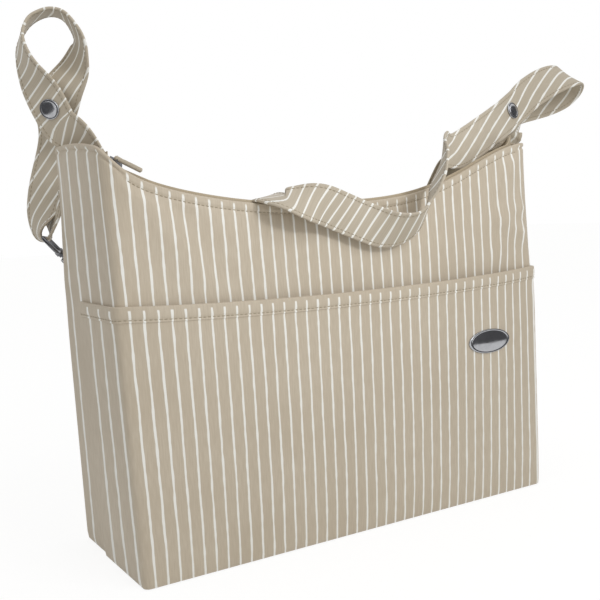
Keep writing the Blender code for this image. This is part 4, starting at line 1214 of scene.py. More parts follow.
@dataclass
class Lining:
    """The open inner bag of plain cloth."""

    finishes: Finishes
    thickness: float = 1 * MM
    corner: float = 9 * MM
    drop: float = 0.9 * MM
    corner_drop: float = 9 * MM
    base_stack: float = 5 * MM
    tape_foot: float = 7 * MM
    tape_inset: float = 16 * MM
    fold: float = 1.4 * MM
    fold_size: float = 40 * MM
    wall_share: float = 0.999
    floor: tuple[float, ...] = (0.02, 0.3, 0.6, 0.85)

    def outline(self) -> list[tuple[float, float]]:
        """Points round the lining in unit width and depth.

        Returns:
            The points, as shares of the half width and half depth.
        """
        wide = 1 - self.corner / (OUTLINE.top_width / 2)
        deep = 1 - self.corner / (OUTLINE.top_depth / 2)
        long_row = [-wide + 2 * wide * step / 110 for step in range(111)]
        short_row = [deep - 2 * deep * step / 30 for step in range(31)]
        return ([(-x, 1.0) for x in long_row] + [(-1.0, y) for y in short_row]
                + [(x, -1.0) for x in long_row] + [(1.0, -y) for y in short_row])

    def top(self, unit_x: float, unit_y: float) -> float:
        """Height of the lining's edge, under the zip tapes.

        Args:
            unit_x: Share of the half width, from -1 to 1.
            unit_y: Share of the half depth, from -1 to 1.

        Returns:
            The height.
        """
        corner = blend(OUTLINE.front_corner, OUTLINE.back_corner, (unit_y + 1) / 2)
        turn = 1 - 3 * self.tape_inset / (OUTLINE.top_width / 2)
        share = (abs(unit_x) - turn) / (self.tape_inset / (OUTLINE.top_width / 2))
        rim = OUTLINE.rim_height(unit_x * OUTLINE.inner_half_width(OUTLINE.front_corner), corner)
        return rim - self.tape_foot - self.drop - self.corner_drop * max(0.0, min(share, 1.0))

    def ring(self, level: float, inset: float, scale: float = 1.0, rise: float = 0.0,
             creased: bool = False) -> list[Vector]:
        """One ring of the lining at a share of its height.

        Args:
            level: Share of the height, from 0 at the floor to 1 at the edge.
            inset: Distance in from the outer face.
            scale: Share of the full outline, for the rings of the floor.
            rise: Height added, for the floor's thickness.
            creased: Whether the ring has the soft folds of the inner face.

        Returns:
            The ring's points.
        """
        ring = []
        for unit_x, unit_y in self.outline():
            z = blend(self.base_stack, self.top(unit_x, unit_y), level)
            wide = OUTLINE.inner_half_width(z) - inset
            deep = OUTLINE.inner_half_depth(z) - inset
            point = Vector((unit_x * wide * scale, unit_y * deep * scale, z + rise))
            if creased:
                soft = Vector((point.x, point.y, point.z * 0.4))
                fold = self.fold * (1 + grain(soft, self.fold_size, 41))
                fold *= math.sin(math.pi * min(level, 1.0)) ** 0.5
                point.x -= math.copysign(fold, unit_x) * (abs(unit_x) > self.wall_share)
                point.y -= math.copysign(fold, unit_y) * (abs(unit_y) > self.wall_share)
            ring.append(point)
        return ring

    def build(self) -> None:
        """Make the lining as one closed skin."""
        levels = [step / 24 for step in range(25)]
        rings = [self.ring(0, 0, scale) for scale in self.floor]
        rings += [self.ring(level, 0) for level in levels]
        rings += [self.ring(level, self.thickness, rise=self.thickness * (1 - level),
                            creased=True) for level in reversed(levels)]
        rings += [self.ring(0, self.thickness, scale, self.thickness)
                  for scale in reversed(self.floor)]
        add_piece("lining_cloth", loft("lining_cloth", rings), self.finishes.lining,
                  ("lining",))


# Smooth routes

def catmull(before: Vector, start: Vector, end: Vector, after: Vector, share: float) -> Vector:
    """A point of the Catmull-Rom curve between start and end."""
    return 0.5 * (2 * start + (end - before) * share
                  + (2 * before - 5 * start + 4 * end - after) * share ** 2
                  + (3 * start - before - 3 * end + after) * share ** 3)


def through(points: list[Vector], step: float) -> list[Vector]:
    """Points about one step apart on the smooth curve through the given ones.

    Args:
        points: Points that the curve runs through.
        step: Distance between the points that are made.

    Returns:
        The curve's points, with both ends.
    """
    padded = [2 * points[0] - points[1], *points, 2 * points[-1] - points[-2]]
    route = []
    for index in range(1, len(padded) - 2):
        places = padded[index - 1:index + 3]
        count = max(2, round((places[2] - places[1]).length / step))
        route += [catmull(*places, number / count) for number in range(count)]
    return route + [points[-1].copy()]


def eased(values: list[Vector], reach: int) -> list[Vector]:
    """Values averaged with their neighbours, with both ends kept.

    Args:
        values: Values in a row.
        reach: Neighbours counted on each side.

    Returns:
        The averages.
    """
    made = []
    for index in range(len(values)):
        room = min(reach, index, len(values) - 1 - index)
        near = values[index - room:index + room + 1]
        made.append(sum(near, Vector((0, 0, 0))) / len(near))
    return made


# Zip

Bends = tuple[Triple, ...]


@dataclass
class Zip:
    """The open zip: two woven tapes with their coils, the slider, its puller and the end tab."""

    finishes: Finishes
    thickness: float = 0.8 * MM
    height: float = 9 * MM
    stand: float = 2 * MM
    coil_width: float = 2 * MM
    end_inset: float = 16 * MM
    slider_length: float = 9 * MM
    slider_width: float = 7.5 * MM
    slider_height: float = 4.4 * MM
    slider_tilt: float = 50
    slider_spot: Triple = (9.3, 6, -13)
    bail: Triple = (-1.08, 0, 5.4)
    puller_ends: tuple[float, float] = (-2.0, 18.5)
    puller_radius: float = 1.75 * MM
    puller_rings: int = 41
    puller_turns: int = 20
    tab_length: float = 14 * MM
    step: float = 1.5 * MM
    front_arch: Bends = ((19, 1.5, -0.9), (10, 7, 6.75), (4.5, 15, 5.4), (3, 26, 0))
    back_left: Bends = ((2.5, -17, -5), (11, -3.5, -8))
    back_right: Bends = ((11, -3.5, -8), (2.8, -17, -4))

    def end_point(self, side: int, inset_x: float, y: float, rise: float) -> Vector:
        """A point of a tape's free end, set from the side's inner face and its top."""
        return Vector((side * (OUTLINE.inner_half_width(OUTLINE.front_corner) - inset_x), y,
                       OUTLINE.front_corner + rise))

    def bends(self, side: int, y: float, places: Bends) -> list[Vector]:
        """Points of a free end: inset, distance from y and rise of each, in millimetres."""
        return [self.end_point(side, inset * MM, y + inward * MM, rise * MM)
                for inset, inward, rise in places]

    def rim_points(self, side: int, corner_height: float) -> list[Vector]:
        """Upper edge of a tape along a rim, from left to right.

        Args:
            side: -1 for the front rim and 1 for the back one.
            corner_height: Height of that rim at its corners.

        Returns:
            The points.
        """
        reach = OUTLINE.top_width / 2 - 2 * self.end_inset
        points = []
        for step in range(61):
            x = blend(-reach, reach, step / 60)
            rim = OUTLINE.rim_height(x, corner_height)
            points.append(Vector((x, side * OUTLINE.inner_half_depth(rim), rim + self.stand)))
        return points

    def slider_place(self) -> Matrix:
        """Place of the slider: its length runs down along the rim, its top leans forward.

        Returns:
            The place.
        """
        slope = Vector((10, 0, -5)).normalized()
        up = Matrix.Rotation(math.radians(self.slider_tilt), 3, slope) @ slope.cross(Y_AXIS)
        front = -OUTLINE.inner_half_depth(OUTLINE.front_corner)
        place = self.bends(-1, front, (self.slider_spot,))[0]
        return placed(place, (slope, up.cross(slope), up))

    def routes(self) -> tuple[Route, Route]:
        """Both tapes' upper edges from left to right, with their inward directions.

        Returns:
            The front tape's route and the back tape's.
        """
        front_y = -OUTLINE.inner_half_depth(OUTLINE.front_corner)
        back_y = OUTLINE.inner_half_depth(OUTLINE.back_corner)
        tab = self.tab_length / 2 + OUTLINE.seam_gap
        slider = self.slider_place()
        mouth = slider @ Vector((self.slider_length / 2 + OUTLINE.seam_gap,
                                 -self.slider_width / 4, self.slider_height / 3))
        rear = slider @ Vector((-self.slider_length / 2 - self.coil_width,
                                self.slider_width + self.coil_width, 0))
        front = self.rim_points(-1, OUTLINE.front_corner)
        back = self.rim_points(1, OUTLINE.back_corner)
        front = ([mouth, mouth.lerp(front[0], 0.5)] + front
                 + self.bends(1, front_y, self.front_arch)
                 + self.bends(1, -tab, ((2.6, 0, -4),)))
        back = ([rear] + self.bends(-1, rear.y, ((3.5, 12, -6),)) + self.bends(-1, 0, ((2, 0, -5),))
                + self.bends(-1, back_y, self.back_left) + back
                + self.bends(1, back_y, self.back_right) + self.bends(1, tab, ((2.6, 0, -4),)))
        return self.aimed(through(front, self.step)), self.aimed(through(back, self.step))

    def aimed(self, points: list[Vector]) -> Route:
        """Points of a tape with the level direction that faces the other tape.

        Args:
            points: The tape's points in order.

        Returns:
            The route.
        """
        route = []
        for index, point in enumerate(points):
            inward = Z_AXIS.cross(ahead(points, index)).normalized()
            if inward.dot(Vector((-point.x * 0.2, -point.y, 0))) < 0:
                inward.negate()
            route.append((point, inward))
        return route

    def tape(self, name: str, route: Route, node: str) -> None:
        """One woven tape with the turns of its coil.

        Args:
            name: The piece's name.
            route: The tape's upper edge.
            node: The CAD node that it stands for.
        """
        section = ((0, -self.height), (self.thickness * 0.5, -self.height - 0.15 * MM),
                   (self.thickness, -self.height), (self.thickness, -self.height / 2),
                   (self.thickness, -0.3 * MM), (self.thickness * 0.5, 0), (0, -0.3 * MM),
                   (0, -self.height / 2))
        rings = [[point + inward * across + Z_AXIS * up for across, up in section]
                 for point, inward in route]
        add_piece(name, loft(name, rings), self.finishes.tape, (node,))
        coil = [(point + inward * (self.thickness + 0.55 * MM) - Z_AXIS * 1.1 * MM, inward)
                for point, inward in route[3:-3]]
        COIL.add(name + "_coil", [coil], self.finishes.coil, Slot.TAPE)

    def build(self) -> None:
        """Make the tapes and dress the slider, puller and end tab."""
        front, back = self.routes()
        self.tape("front_tape", front, "front_zip_tape")
        self.tape("back_tape", back, "back_zip_tape")
        dressed_node("zip_slider", "slider", self.finishes.dark, "bag")
        dressed_node("zip_end_tab", "end_tab", self.finishes.tape, "bag")
        self.puller()

    def puller(self) -> None:
        """The puller: a short length of the cloth, rolled and stitched round the bail."""
        place = self.slider_place() @ Matrix.Translation(Vector(self.bail) * MM)
        rings = []
        for step in range(self.puller_rings):
            share = step / (self.puller_rings - 1)
            x = blend(*self.puller_ends, share) * MM
            round_end = math.sqrt(max(0.0, 1 - max(0.0, abs(share - 0.5) * 2 - 0.9) ** 2 * 90))
            ring = []
            # The cloth's free edge makes a ridge along the roll, with a groove beside it
            for turn in range(self.puller_turns):
                angle = math.tau * turn / self.puller_turns
                lap = 1 + 0.1 * bell((angle - 1.9) / math.pi, 0.12) - 0.13 * bell(
                    (angle - 2.3) / math.pi, 0.05)
                waist = 1 - 0.12 * bell(x - 3.5 * MM, 1 * MM)
                reach = self.puller_radius * lap * waist * max(round_end, 0.25)
                ring.append(place @ Vector((x, reach * math.cos(angle) * 0.85,
                                            reach * math.sin(angle))))
            rings.append(ring)
        coords = [[(0.5, point.z) for point in ring] for ring in rings]
        add_piece("rolled_puller", loft("rolled_puller", rings, coords), self.finishes.strap,
                  ("zip_puller",), "puller_body")


def set_phase(mesh: bpy.types.Mesh, direction: Vector, pitch: float) -> None:
    """Give a mesh cloth coordinates whose stripes lie across one direction.

    Args:
        mesh: The mesh, which is changed.
        direction: The direction from stripe to stripe.
        pitch: Distance from stripe to stripe.
    """
    layer = mesh.uv_layers.get(CLOTH_UV) or mesh.uv_layers.new(name=CLOTH_UV)
    direction = direction.normalized()
    along = direction.orthogonal().normalized()
    values = []
    for loop in mesh.loops:
        point = mesh.vertices[loop.vertex_index].co
        values += [point.dot(direction) / pitch, point.dot(along)]
    layer.data.foreach_set("uv", values)


# Camera, set before the strap because its stripes lean the same way in the photograph

@dataclass(frozen=True)
class PhotoCamera:
    """The camera at the photograph's viewing angle."""

    place: Triple = (-0.384, -0.6167, 0.2452)
    azimuth: float = -30.98
    elevation: float = 5.5
    roll: float = -2.87
    lens: float = 53.9
    sensor: float = 36.0

    def axes(self) -> tuple[Vector, Vector, Vector]:
        """The camera's right, up and backward directions.

        Returns:
            The three directions.
        """
        turn, rise = math.radians(self.azimuth), math.radians(self.elevation)
        lean = math.radians(self.roll)
        back = Vector((math.sin(turn) * math.cos(rise), -math.cos(turn) * math.cos(rise),
                       math.sin(rise)))
        right = Z_AXIS.cross(back).normalized()
        up = back.cross(right)
        return (right * math.cos(lean) + up * math.sin(lean),
                up * math.cos(lean) - right * math.sin(lean), back)

    def pixel(self, point: Vector) -> tuple[float, float]:
        """Where a point of the frame falls in the photograph.

        Args:
            point: The point.

        Returns:
            Pixels from the left and the top.
        """
        right, up, back = self.axes()
        ray = point - Vector(self.place)
        scale = self.lens / self.sensor * PHOTO_SIZE / -ray.dot(back)
        return (PHOTO_SIZE / 2 + ray.dot(right) * scale, PHOTO_SIZE / 2 - ray.dot(up) * scale)

    def build(self) -> None:
        """Make the camera and use it."""
        data = bpy.data.cameras.new("photo_camera")
        data.lens = self.lens
        data.sensor_width = self.sensor
        camera = link_object("photo_camera", data)
        camera.matrix_world = placed(Vector(self.place), self.axes())
        bpy.context.scene.camera = camera


CAMERA = PhotoCamera()


# Strap

@dataclass
class Station:
    """One place on the strap: its centre and the direction across its width."""

    centre: Vector
    across: Vector

    def __post_init__(self) -> None:
        """Make the direction across one unit long."""
        self.across = Vector(self.across).normalized()


Place = tuple[Triple, Triple]
SnapRun = tuple[Triple, Triple, Triple, Triple, float]

TOP_LEFT = Vector((-OUTLINE.top_width / 2, 0, OUTLINE.back_corner))
TOP_RIGHT = Vector((OUTLINE.top_width / 2, 0, OUTLINE.back_corner))
RIM_LOW = Vector((OUTLINE.rim_low_x, -OUTLINE.top_depth / 2, OUTLINE.rim_low))


def stations_from(start: Vector, places: tuple[Place, ...]) -> list[Station]:
    """Stations set from a point of the bag, in millimetres."""
    return [Station(start + Vector(place) * MM, Vector(across)) for place, across in places]


@dataclass
class Strap:
    """The strap: one stitched cloth ribbon from hook to hook, with its loops and its twist."""

    finishes: Finishes
    width: float = 30 * MM
    thickness: float = 2.2 * MM
    step: float = 1.5 * MM
    turn_radius: float = 4.2 * MM
    eye_wire: float = 1.5 * MM
    snap_radius: float = 7.5 * MM
    socket_height: float = 2.8 * MM
    stud_flange: float = 0.8 * MM
    station_step: float = 6 * MM
    stitch_inset: float = 2.9 * MM
    stripe_lean: float = 58
    stripe_gap: float = 11.0
    pitch_range: tuple[float, float] = (5.5 * MM, 11 * MM)
    edge_on_weight: float = 0.02
    ripple: float = 0.12 * MM
    stitch_sink: float = 0.86
    edge_profile: tuple[tuple[float, float], ...] = (
        (0, -0.35), (0.5, -0.85), (1.3, -1.0), (2.9, -0.78), (4.3, -0.96))
    middle_rise: float = -0.92
    left_snap: SnapRun = ((-1, 44, 28), (0.42, 0, -0.9), (-0.59, 0.7, -0.4),
                          (0.12, -0.56, 0.82), -4)
    right_snap: SnapRun = ((23, -11, 26), (0.86, 0.25, 0.44), (0.78, 0.02, -0.63),
                           (-0.62, 0, -0.78), 8)
    hook_pull: Triple = (-0.59, -0.27, -0.76)
    hook_aim: Triple = (-0.35, 0.94, 0)
    hook_bar: Triple = (193, 76, 236)

    left_tail: tuple[Place, ...] = (
        ((7.8, 79.5, -12), (-0.69, 0.72, 0.1)),
        ((3.4, 81.6, -29), (-0.69, 0.73, -0.05)),
        ((3.6, 75.5, -49), (-0.2, 0.97, -0.05)),
    )
    left_rise: tuple[Place, ...] = (
        ((-5, 81, -53), (-0.40, 0.86, -0.2)),
        ((1, 80, -29), (-0.69, 0.73, -0.05)),
        ((10, 73, 6), (-0.68, 0.67, 0.29)),
    )
    left_loop: tuple[Place, ...] = (
        ((18, 37, 60), (-0.36, 0.87, 0.32)),
        ((20, 32, 76), (0.09, 0.98, 0.15)),
        ((12, 38, 94), (0.24, 0.97, 0.07)),
        ((2, 42, 97), (0.27, 0.96, 0.01)),
        ((-9, 45, 92), (0.31, 0.95, 0.01)),
        ((-16, 44, 84), (0.35, 0.93, 0.1)),
        ((-20, 43, 74), (0.14, 0.97, 0.12)),
        ((-19, 41, 63), (-0.11, 0.99, 0.1)),
        ((-13, 42, 51), (-0.32, 0.93, -0.1)),
    )
    inside: tuple[Place, ...] = (
        ((15, 35, 5), (-0.45, 0.82, -0.3)),
        ((27, 30, -16), (-0.25, 0.85, -0.45)),
        ((44, 14, -39), (0.05, 0.55, -0.83)),
        ((70, -8, -52), (-0.15, -0.1, -0.98)),
        ((97, -25, -58), (-0.4, -0.75, -0.5)),
    )
    drape: tuple[Place, ...] = (
        ((-40, 18, 3), (-0.5, -0.8, 0.1)),
        ((-37, 4, 6.5), (-0.55, -0.78, -0.1)),
        ((-33, -9, 4.5), (-0.63, -0.7, -0.33)),
        ((-24, -11, 2.5), (-0.7, -0.52, -0.49)),
        ((-3, -14, -0.5), (-0.52, -0.03, -0.85)),
        ((18, -12, -8), (-0.39, 0.13, -0.91)),
        ((38, -13, -16), (-0.33, 0.09, -0.94)),
        ((55, -17, -22), (0.09, 0.42, -0.9)),
        ((72, -20, -21), (0.44, 0.6, -0.66)),
        ((83, -21, -15), (0.58, 0.74, -0.34)),
        ((92, -21, -1), (0.55, 0.83, -0.04)),
        ((98, -22, 11), (0.42, 0.9, 0.09)),
        ((112, -12, 28), (0.58, 0.81, 0.1)),
        ((129, 3, 39), (0.67, 0.6, -0.4)),
    )
    right_rise: tuple[Place, ...] = (
        ((-70, -41, -12), (0.45, -0.1, -0.89)),
        ((-40, -35, 0), (0.47, -0.14, -0.87)),
    )
    right_loop: tuple[Place, ...] = (
        ((52, -7, 44), (0.68, -0.3, -0.66)),
        ((71, -11, 54), (0.55, -0.5, -0.66)),
        ((88, -13, 59), (0.5, -0.6, -0.62)),
        ((100, -11, 59), (0.48, -0.62, -0.6)),
        ((105, -4, 52), (0.5, -0.6, -0.6)),
        ((100, 4, 44), (0.52, -0.58, -0.6)),
        ((86, 8, 38), (0.56, -0.5, -0.64)),
        ((64, 8, 33), (0.62, -0.36, -0.68)),
    )
    right_fall: tuple[Place, ...] = (
        ((29, 6, 2), (0.89, -0.39, -0.22)),
        ((38, 34, -14), (0.8, -0.58, -0.1)),
        ((27, 62, -34), (0.45, -0.88, -0.1)),
        ((12, 78, -51), (0.36, -0.92, -0.05)),
    )
    right_tail: tuple[Place, ...] = (
        ((-3.6, 75.5, -49), (0.2, -0.97, -0.05)),
        ((-3.5, 78, -45), (0.3, -0.95, -0.05)),
        ((-3.4, 80, -40), (0.4, -0.9, -0.05)),
    )
    rings: list[list[Vector]] = field(default_factory=list)
    left_front: list[Station] = field(default_factory=list)
    right_front: list[Station] = field(default_factory=list)

    def flat_stretch(self, centre: Vector, along: Vector, across: Vector) -> list[Station]:
        """Five stations in a line, where the strap lies flat under a snap.

        Args:
            centre: Its middle.
            along: The direction that it runs in.
            across: Roughly the direction across it.

        Returns:
            The stations.
        """
        along = along.normalized()
        across = (across - along * across.dot(along)).normalized()
        reach = self.snap_radius + 0.5 * MM
        ease = reach + self.station_step
        return [Station(centre + along * shift, across) for shift in (-ease, -reach, 0, reach,
                                                                      ease)]

    def near_normal(self, stretch: list[Station]) -> Vector:
        """Direction that the near face of a flat stretch looks in."""
        heading = (stretch[3].centre - stretch[1].centre).normalized()
        return stretch[2].across.cross(heading).normalized()

    def stack(self) -> float:
        """Distance between the middles of the two layers that a snap holds."""
        return self.thickness + self.socket_height + self.stud_flange + 3 * OUTLINE.seam_gap

    def layer_behind(self, front: list[Station], along: Vector, slide: float) -> list[Station]:
        """The flat stretch behind another, held to it by a snap.

        Args:
            front: The stretch on the cap's side.
            along: Roughly the direction that the layer runs in.
            slide: How far it is shifted across the front one.

        Returns:
            The stations.
        """
        normal = self.near_normal(front)
        along = (along - normal * along.dot(normal)).normalized()
        centre = front[2].centre - normal * self.stack() + front[2].across * slide
        return self.flat_stretch(centre, along, normal.cross(along))

    def layers(self, start: Vector, snap: SnapRun) -> tuple[list[Station], list[Station]]:
        """The two flat stretches that a snap holds together.

        Args:
            start: The point of the bag that the cap's place is set from.
            snap: The cap's place, its layer's run and across, and the other layer's run and
                shift, in millimetres.

        Returns:
            The stretch under the cap and the one behind it.
        """
        place, along, across, other_along, shift = snap
        front = self.flat_stretch(start + Vector(place) * MM, Vector(along), Vector(across))
        return front, self.layer_behind(front, Vector(other_along), shift * MM)

    def wrap(self, side: int) -> list[Station]:
        """Stations of the strap's end where it turns round a hook's bar, tail first.

        Args:
            side: -1 for the left hook and 1 for the right one.

        Returns:
            The stations.
        """
        mirror = Vector((side, 1, 1))
        pull = (Vector(self.hook_pull) * mirror).normalized()
        aim = Vector(self.hook_aim) * mirror
        aim = (aim - pull * aim.dot(pull)).normalized()
        level = Vector((aim.y, -aim.x, 0)).normalized() * -side
        rise = self.turn_radius - self.thickness / 2 - self.eye_wire - OUTLINE.seam_gap
        centre = Vector(self.hook_bar) * mirror * MM + Z_AXIS * rise
        stations = []
        for turn in (0, -45, -90, -135, -180):
            angle = math.radians(turn)
            offset = (level * math.cos(angle) + Z_AXIS * math.sin(angle)) * self.turn_radius
            stations.append(Station(centre + offset, aim * -side))
        return stations

    def stations(self) -> list[Station]:
        """The strap's whole route, from the left hook round both loops to the right hook.

        Returns:
            The stations in order.
        """
        self.left_front, left_back = self.layers(TOP_LEFT, self.left_snap)
        self.right_front, right_back = self.layers(TOP_RIGHT, self.right_snap)
        return (stations_from(TOP_LEFT, self.left_tail) + self.wrap(-1)
                + stations_from(TOP_LEFT, self.left_rise) + left_back
                + stations_from(TOP_LEFT, self.left_loop) + self.left_front
                + stations_from(TOP_LEFT, self.inside) + stations_from(RIM_LOW, self.drape)
                + stations_from(TOP_RIGHT, self.right_rise) + self.right_front
                + stations_from(TOP_RIGHT, self.right_loop) + right_back
                + stations_from(TOP_RIGHT, self.right_fall) + self.wrap(1)[::-1]
                + stations_from(TOP_RIGHT, self.right_tail))

    def ribbon(self) -> tuple[list[Vector], list[Vector], list[Vector], list[float]]:
        """The strap's smooth line: centres, directions across, normals and run lengths.

        Returns:
            Centres, directions across, normals and distances along.
        """
        stations = self.stations()
        centres = [station.centre for station in stations]
        acrosses = [station.across for station in stations]
        centres = [2 * centres[0] - centres[1], *centres, 2 * centres[-1] - centres[-2]]
        acrosses = [acrosses[0], *acrosses, acrosses[-1]]
        line, sides = [], []
        for index in range(1, len(centres) - 2):
            places, widths = centres[index - 1:index + 3], acrosses[index - 1:index + 3]
            count = max(2, round((places[2] - places[1]).length / self.step))
            last = index == len(centres) - 3
            for number in range(count + last):
                line.append(catmull(*places, number / count))
                sides.append(catmull(*widths, number / count).normalized())
        line, sides = eased(eased(line, 3), 2), eased(eased(sides, 5), 5)
        normals, runs, run = [], [], 0.0
        for index, centre in enumerate(line):
            heading = ahead(line, index).normalized()
            sides[index] = (sides[index] - heading * sides[index].dot(heading)).normalized()
            normals.append(sides[index].cross(heading))
            if index:
                run += (centre - line[index - 1]).length
            runs.append(run)
        return line, sides, normals, runs

    def photo_phase(self, point: Vector) -> float:
        """Number of stripes at a point, if they all leaned as in the photograph.

        Args:
            point: The point.

        Returns:
            The number of stripes.
        """
        x, y = CAMERA.pixel(point)
        lean = math.radians(self.stripe_lean)
        return (x * math.sin(lean) + y * math.cos(lean)) / (self.stripe_gap * math.sin(lean))

    def stripe_slopes(self, line: list[Vector], sides: list[Vector],
                      runs: list[float]) -> list[Vector]:
        """Stripes per metre along and across the strap at each place, kept within bounds.

        Places that the photograph shows edge-on count for little beside their neighbours.

        Args:
            line: The strap's centres.
            sides: The directions across it.
            runs: The distances along it.

        Returns:
            The slopes, with 1 as the third number.
        """
        slopes = []
        for index, centre in enumerate(line):
            low, high = max(index - 1, 0), min(index + 1, len(line) - 1)
            along = (self.photo_phase(line[high]) - self.photo_phase(line[low]))
            along /= runs[high] - runs[low]
            half = sides[index] * 5 * MM
            across = self.photo_phase(centre + half) - self.photo_phase(centre - half)
            slope = Vector((along, across / (10 * MM), 0))
            least, most = 1 / self.pitch_range[1], 1 / self.pitch_range[0]
            if slope.length > 1e-6:
                slope *= max(least, min(slope.length, most)) / slope.length
            heading = (line[high] - line[low]).normalized()
            facing = sides[index].cross(heading).dot((Vector(CAMERA.place) - centre).normalized())
            weight = self.edge_on_weight + facing * facing
            slopes.append(Vector((slope.x, slope.y, 1)) * weight)
        return [slope / slope.z for slope in eased(eased(slopes, 12), 12)]

    def build(self) -> None:
        """Make the ribbon with its folded edges, and its four rows of stitches."""
        line, sides, normals, runs = self.ribbon()
        slopes = self.stripe_slopes(line, sides, runs)
        half, thick = self.width / 2, self.thickness / 2
        edge = [(half - inset * MM, up) for inset, up in self.edge_profile]
        profile = [(-across, up) for across, up in edge] + [(0, self.middle_rise)] + edge[::-1]
        profile += [(across, -up) for across, up in reversed(profile)]
        rings, coords, phase = [], [], self.photo_phase(line[0])
        for index, centre in enumerate(line):
            if index:
                phase += slopes[index].x * (runs[index] - runs[index - 1])
            ring = []
            for across, up in profile:
                point = centre + sides[index] * across + normals[index] * up * thick
                ripple = self.ripple * grain(centre + sides[index] * across, 9 * MM, 55)
                ring.append(point + normals[index] * ripple)
            rings.append(ring)
            coords.append([(phase + slopes[index].y * across, runs[index])
                           for across, _ in profile])
        add_piece("strap_cloth", loft("strap_cloth", rings, coords), self.finishes.strap,
                  ("strap",))
        routes = []
        for edge in (-1, 1):
            for face in (-1, 1):
                points = [centre + side * edge * (half - self.stitch_inset)
                          + normal * face * thick * self.stitch_sink
                          for centre, side, normal in zip(line, sides, normals)]
                routes.append(stitch_route(points[2:-2]))
        SEAM.add("strap_stitches", routes, self.finishes.thread, Slot.WEBBING)

    def snap_place(self, stretch: list[Station]) -> Matrix:
        """Frame of a snap: its centre in the strap and +Z out of the cap.

        Args:
            stretch: The flat stretch that holds the cap.

        Returns:
            The place.
        """
        normal = self.near_normal(stretch)
        across = stretch[2].across
        return placed(stretch[2].centre, (across, normal.cross(across), normal))


# Metal

@dataclass
class Snaps:
    """The two snap fasteners: domed caps outside, sockets, studs and posts between."""

    finishes: Finishes
    strap: Strap
    radius: float = 7.5 * MM
    dome: float = 2.4 * MM
    rivet: float = 2 * MM
    edge_rise: float = 1.2 * MM
    edge_roll: tuple[tuple[float, float], ...] = (
        (0.93, 0), (0.985, 0.2), (1, 0.55), (0.985, 0.95), (0.94, 1.2), (0.88, 1.25),
        (0.84, 1.15), (0.8, 1.2))
    dome_share: float = 0.8

    def cap(self, name: str, place: Matrix, node: str) -> None:
        """A spun cap: rolled edge, shallow ring and low dome.

        Args:
            name: The piece's name.
            place: The cap's place.
            node: The CAD node that it stands for.
        """
        face = self.strap.thickness / 2
        base = face + OUTLINE.seam_gap * 0.4
        edge = self.radius
        profile = [(0.05 * MM, -face), (self.rivet, -face), (self.rivet, base)]
        profile += [(edge * share, base + up * MM) for share, up in self.edge_roll]
        for step in range(1, 9):
            angle = step / 8 * math.pi / 2
            profile.append((edge * self.dome_share * math.cos(angle) + 0.05 * MM, base
                            + self.edge_rise + (self.dome - self.edge_rise) * math.sin(angle)))
        mesh = turned_mesh(name, profile, place)
        add_piece(name, mesh, self.finishes.chrome, (node,))

    def build(self) -> None:
        """Make both caps and dress the hidden pieces."""
        for side, stretch in (("left", self.strap.left_front), ("right", self.strap.right_front)):
            self.cap(side + "_cap", self.strap.snap_place(stretch), side + "_snap_cap")
            for part in ("socket", "stud", "post"):
                dressed_node(f"{side}_snap_{part}", f"{side}_{part}", self.finishes.chrome,
                             "bag")


@dataclass
class Badge:
    """The bare domed oval plate on the pocket."""

    finishes: Finishes
    pocket: FrontPocket
    width: float = 46 * MM
    height: float = 20 * MM
    x: float = 125.5 * MM
    z: float = 133 * MM
    steps: int = 96
    profile: tuple[tuple[float, float], ...] = (
        (0.02, -0.2), (0.96, -0.2), (0.99, 0.1), (1.0, 0.6), (0.99, 1.1), (0.965, 1.45),
        (0.93, 1.6), (0.895, 1.5), (0.87, 1.3), (0.84, 1.35), (0.72, 1.75), (0.55, 2.2),
        (0.35, 2.6), (0.15, 2.78), (0.02, 2.8))

    def place(self) -> Matrix:
        """Frame of the plate on the pocket's face.

        Returns:
            The place, with +Z out of the pocket.
        """
        along = (self.pocket.face(self.x + self.width / 2, self.z)
                 - self.pocket.face(self.x - self.width / 2, self.z)).normalized()
        upward = (self.pocket.face(self.x, self.z + self.height / 2)
                  - self.pocket.face(self.x, self.z - self.height / 2))
        normal = along.cross(upward).normalized()
        centre = self.pocket.face(self.x, self.z) + normal * OUTLINE.seam_gap
        return placed(centre, (along, normal.cross(along), normal))

    def build(self) -> None:
        """Make the plate: a rolled edge round a shallow dome."""
        place = self.place()
        rings = []
        for share, height in self.profile:
            reach_x, reach_y = self.width / 2 * share, self.height / 2 * share
            rings.append([place @ Vector((reach_x * math.cos(math.tau * step / self.steps),
                                          reach_y * math.sin(math.tau * step / self.steps),
                                          height * MM)) for step in range(self.steps)])
        add_piece("oval_plate", loft("oval_plate", rings, angle=60), self.finishes.chrome,
                  ("badge",))


@dataclass
class Hardware:
    """Rings, webbing tabs, eyes, swivel hooks and gates at the back corners."""

    finishes: Finishes
    tab_stripes: Triple = (0.8, 0, 0.6)
    tab_pitch: float = 8 * MM

    def build(self) -> None:
        """Dress each piece on its own body."""
        for side in ("left", "right"):
            dressed_node(side + "_ring", side + "_ring_wire", self.finishes.chrome,
                         side + "_ring_body", levels=1)
            dressed_node(side + "_hook_eye", side + "_eye", self.finishes.dark, "bag")
            dressed_node(side + "_hook", side + "_swivel_hook", self.finishes.dark,
                         side + "_hook_body")
            dressed_node(side + "_hook_gate", side + "_gate", self.finishes.chrome,
                         side + "_hook_gate_body")
            tab = dressed_node(side + "_ring_tab", side + "_tab", self.finishes.strap,
                               "bag", levels=2)
            set_phase(tab.data, Vector(self.tab_stripes), self.tab_pitch)


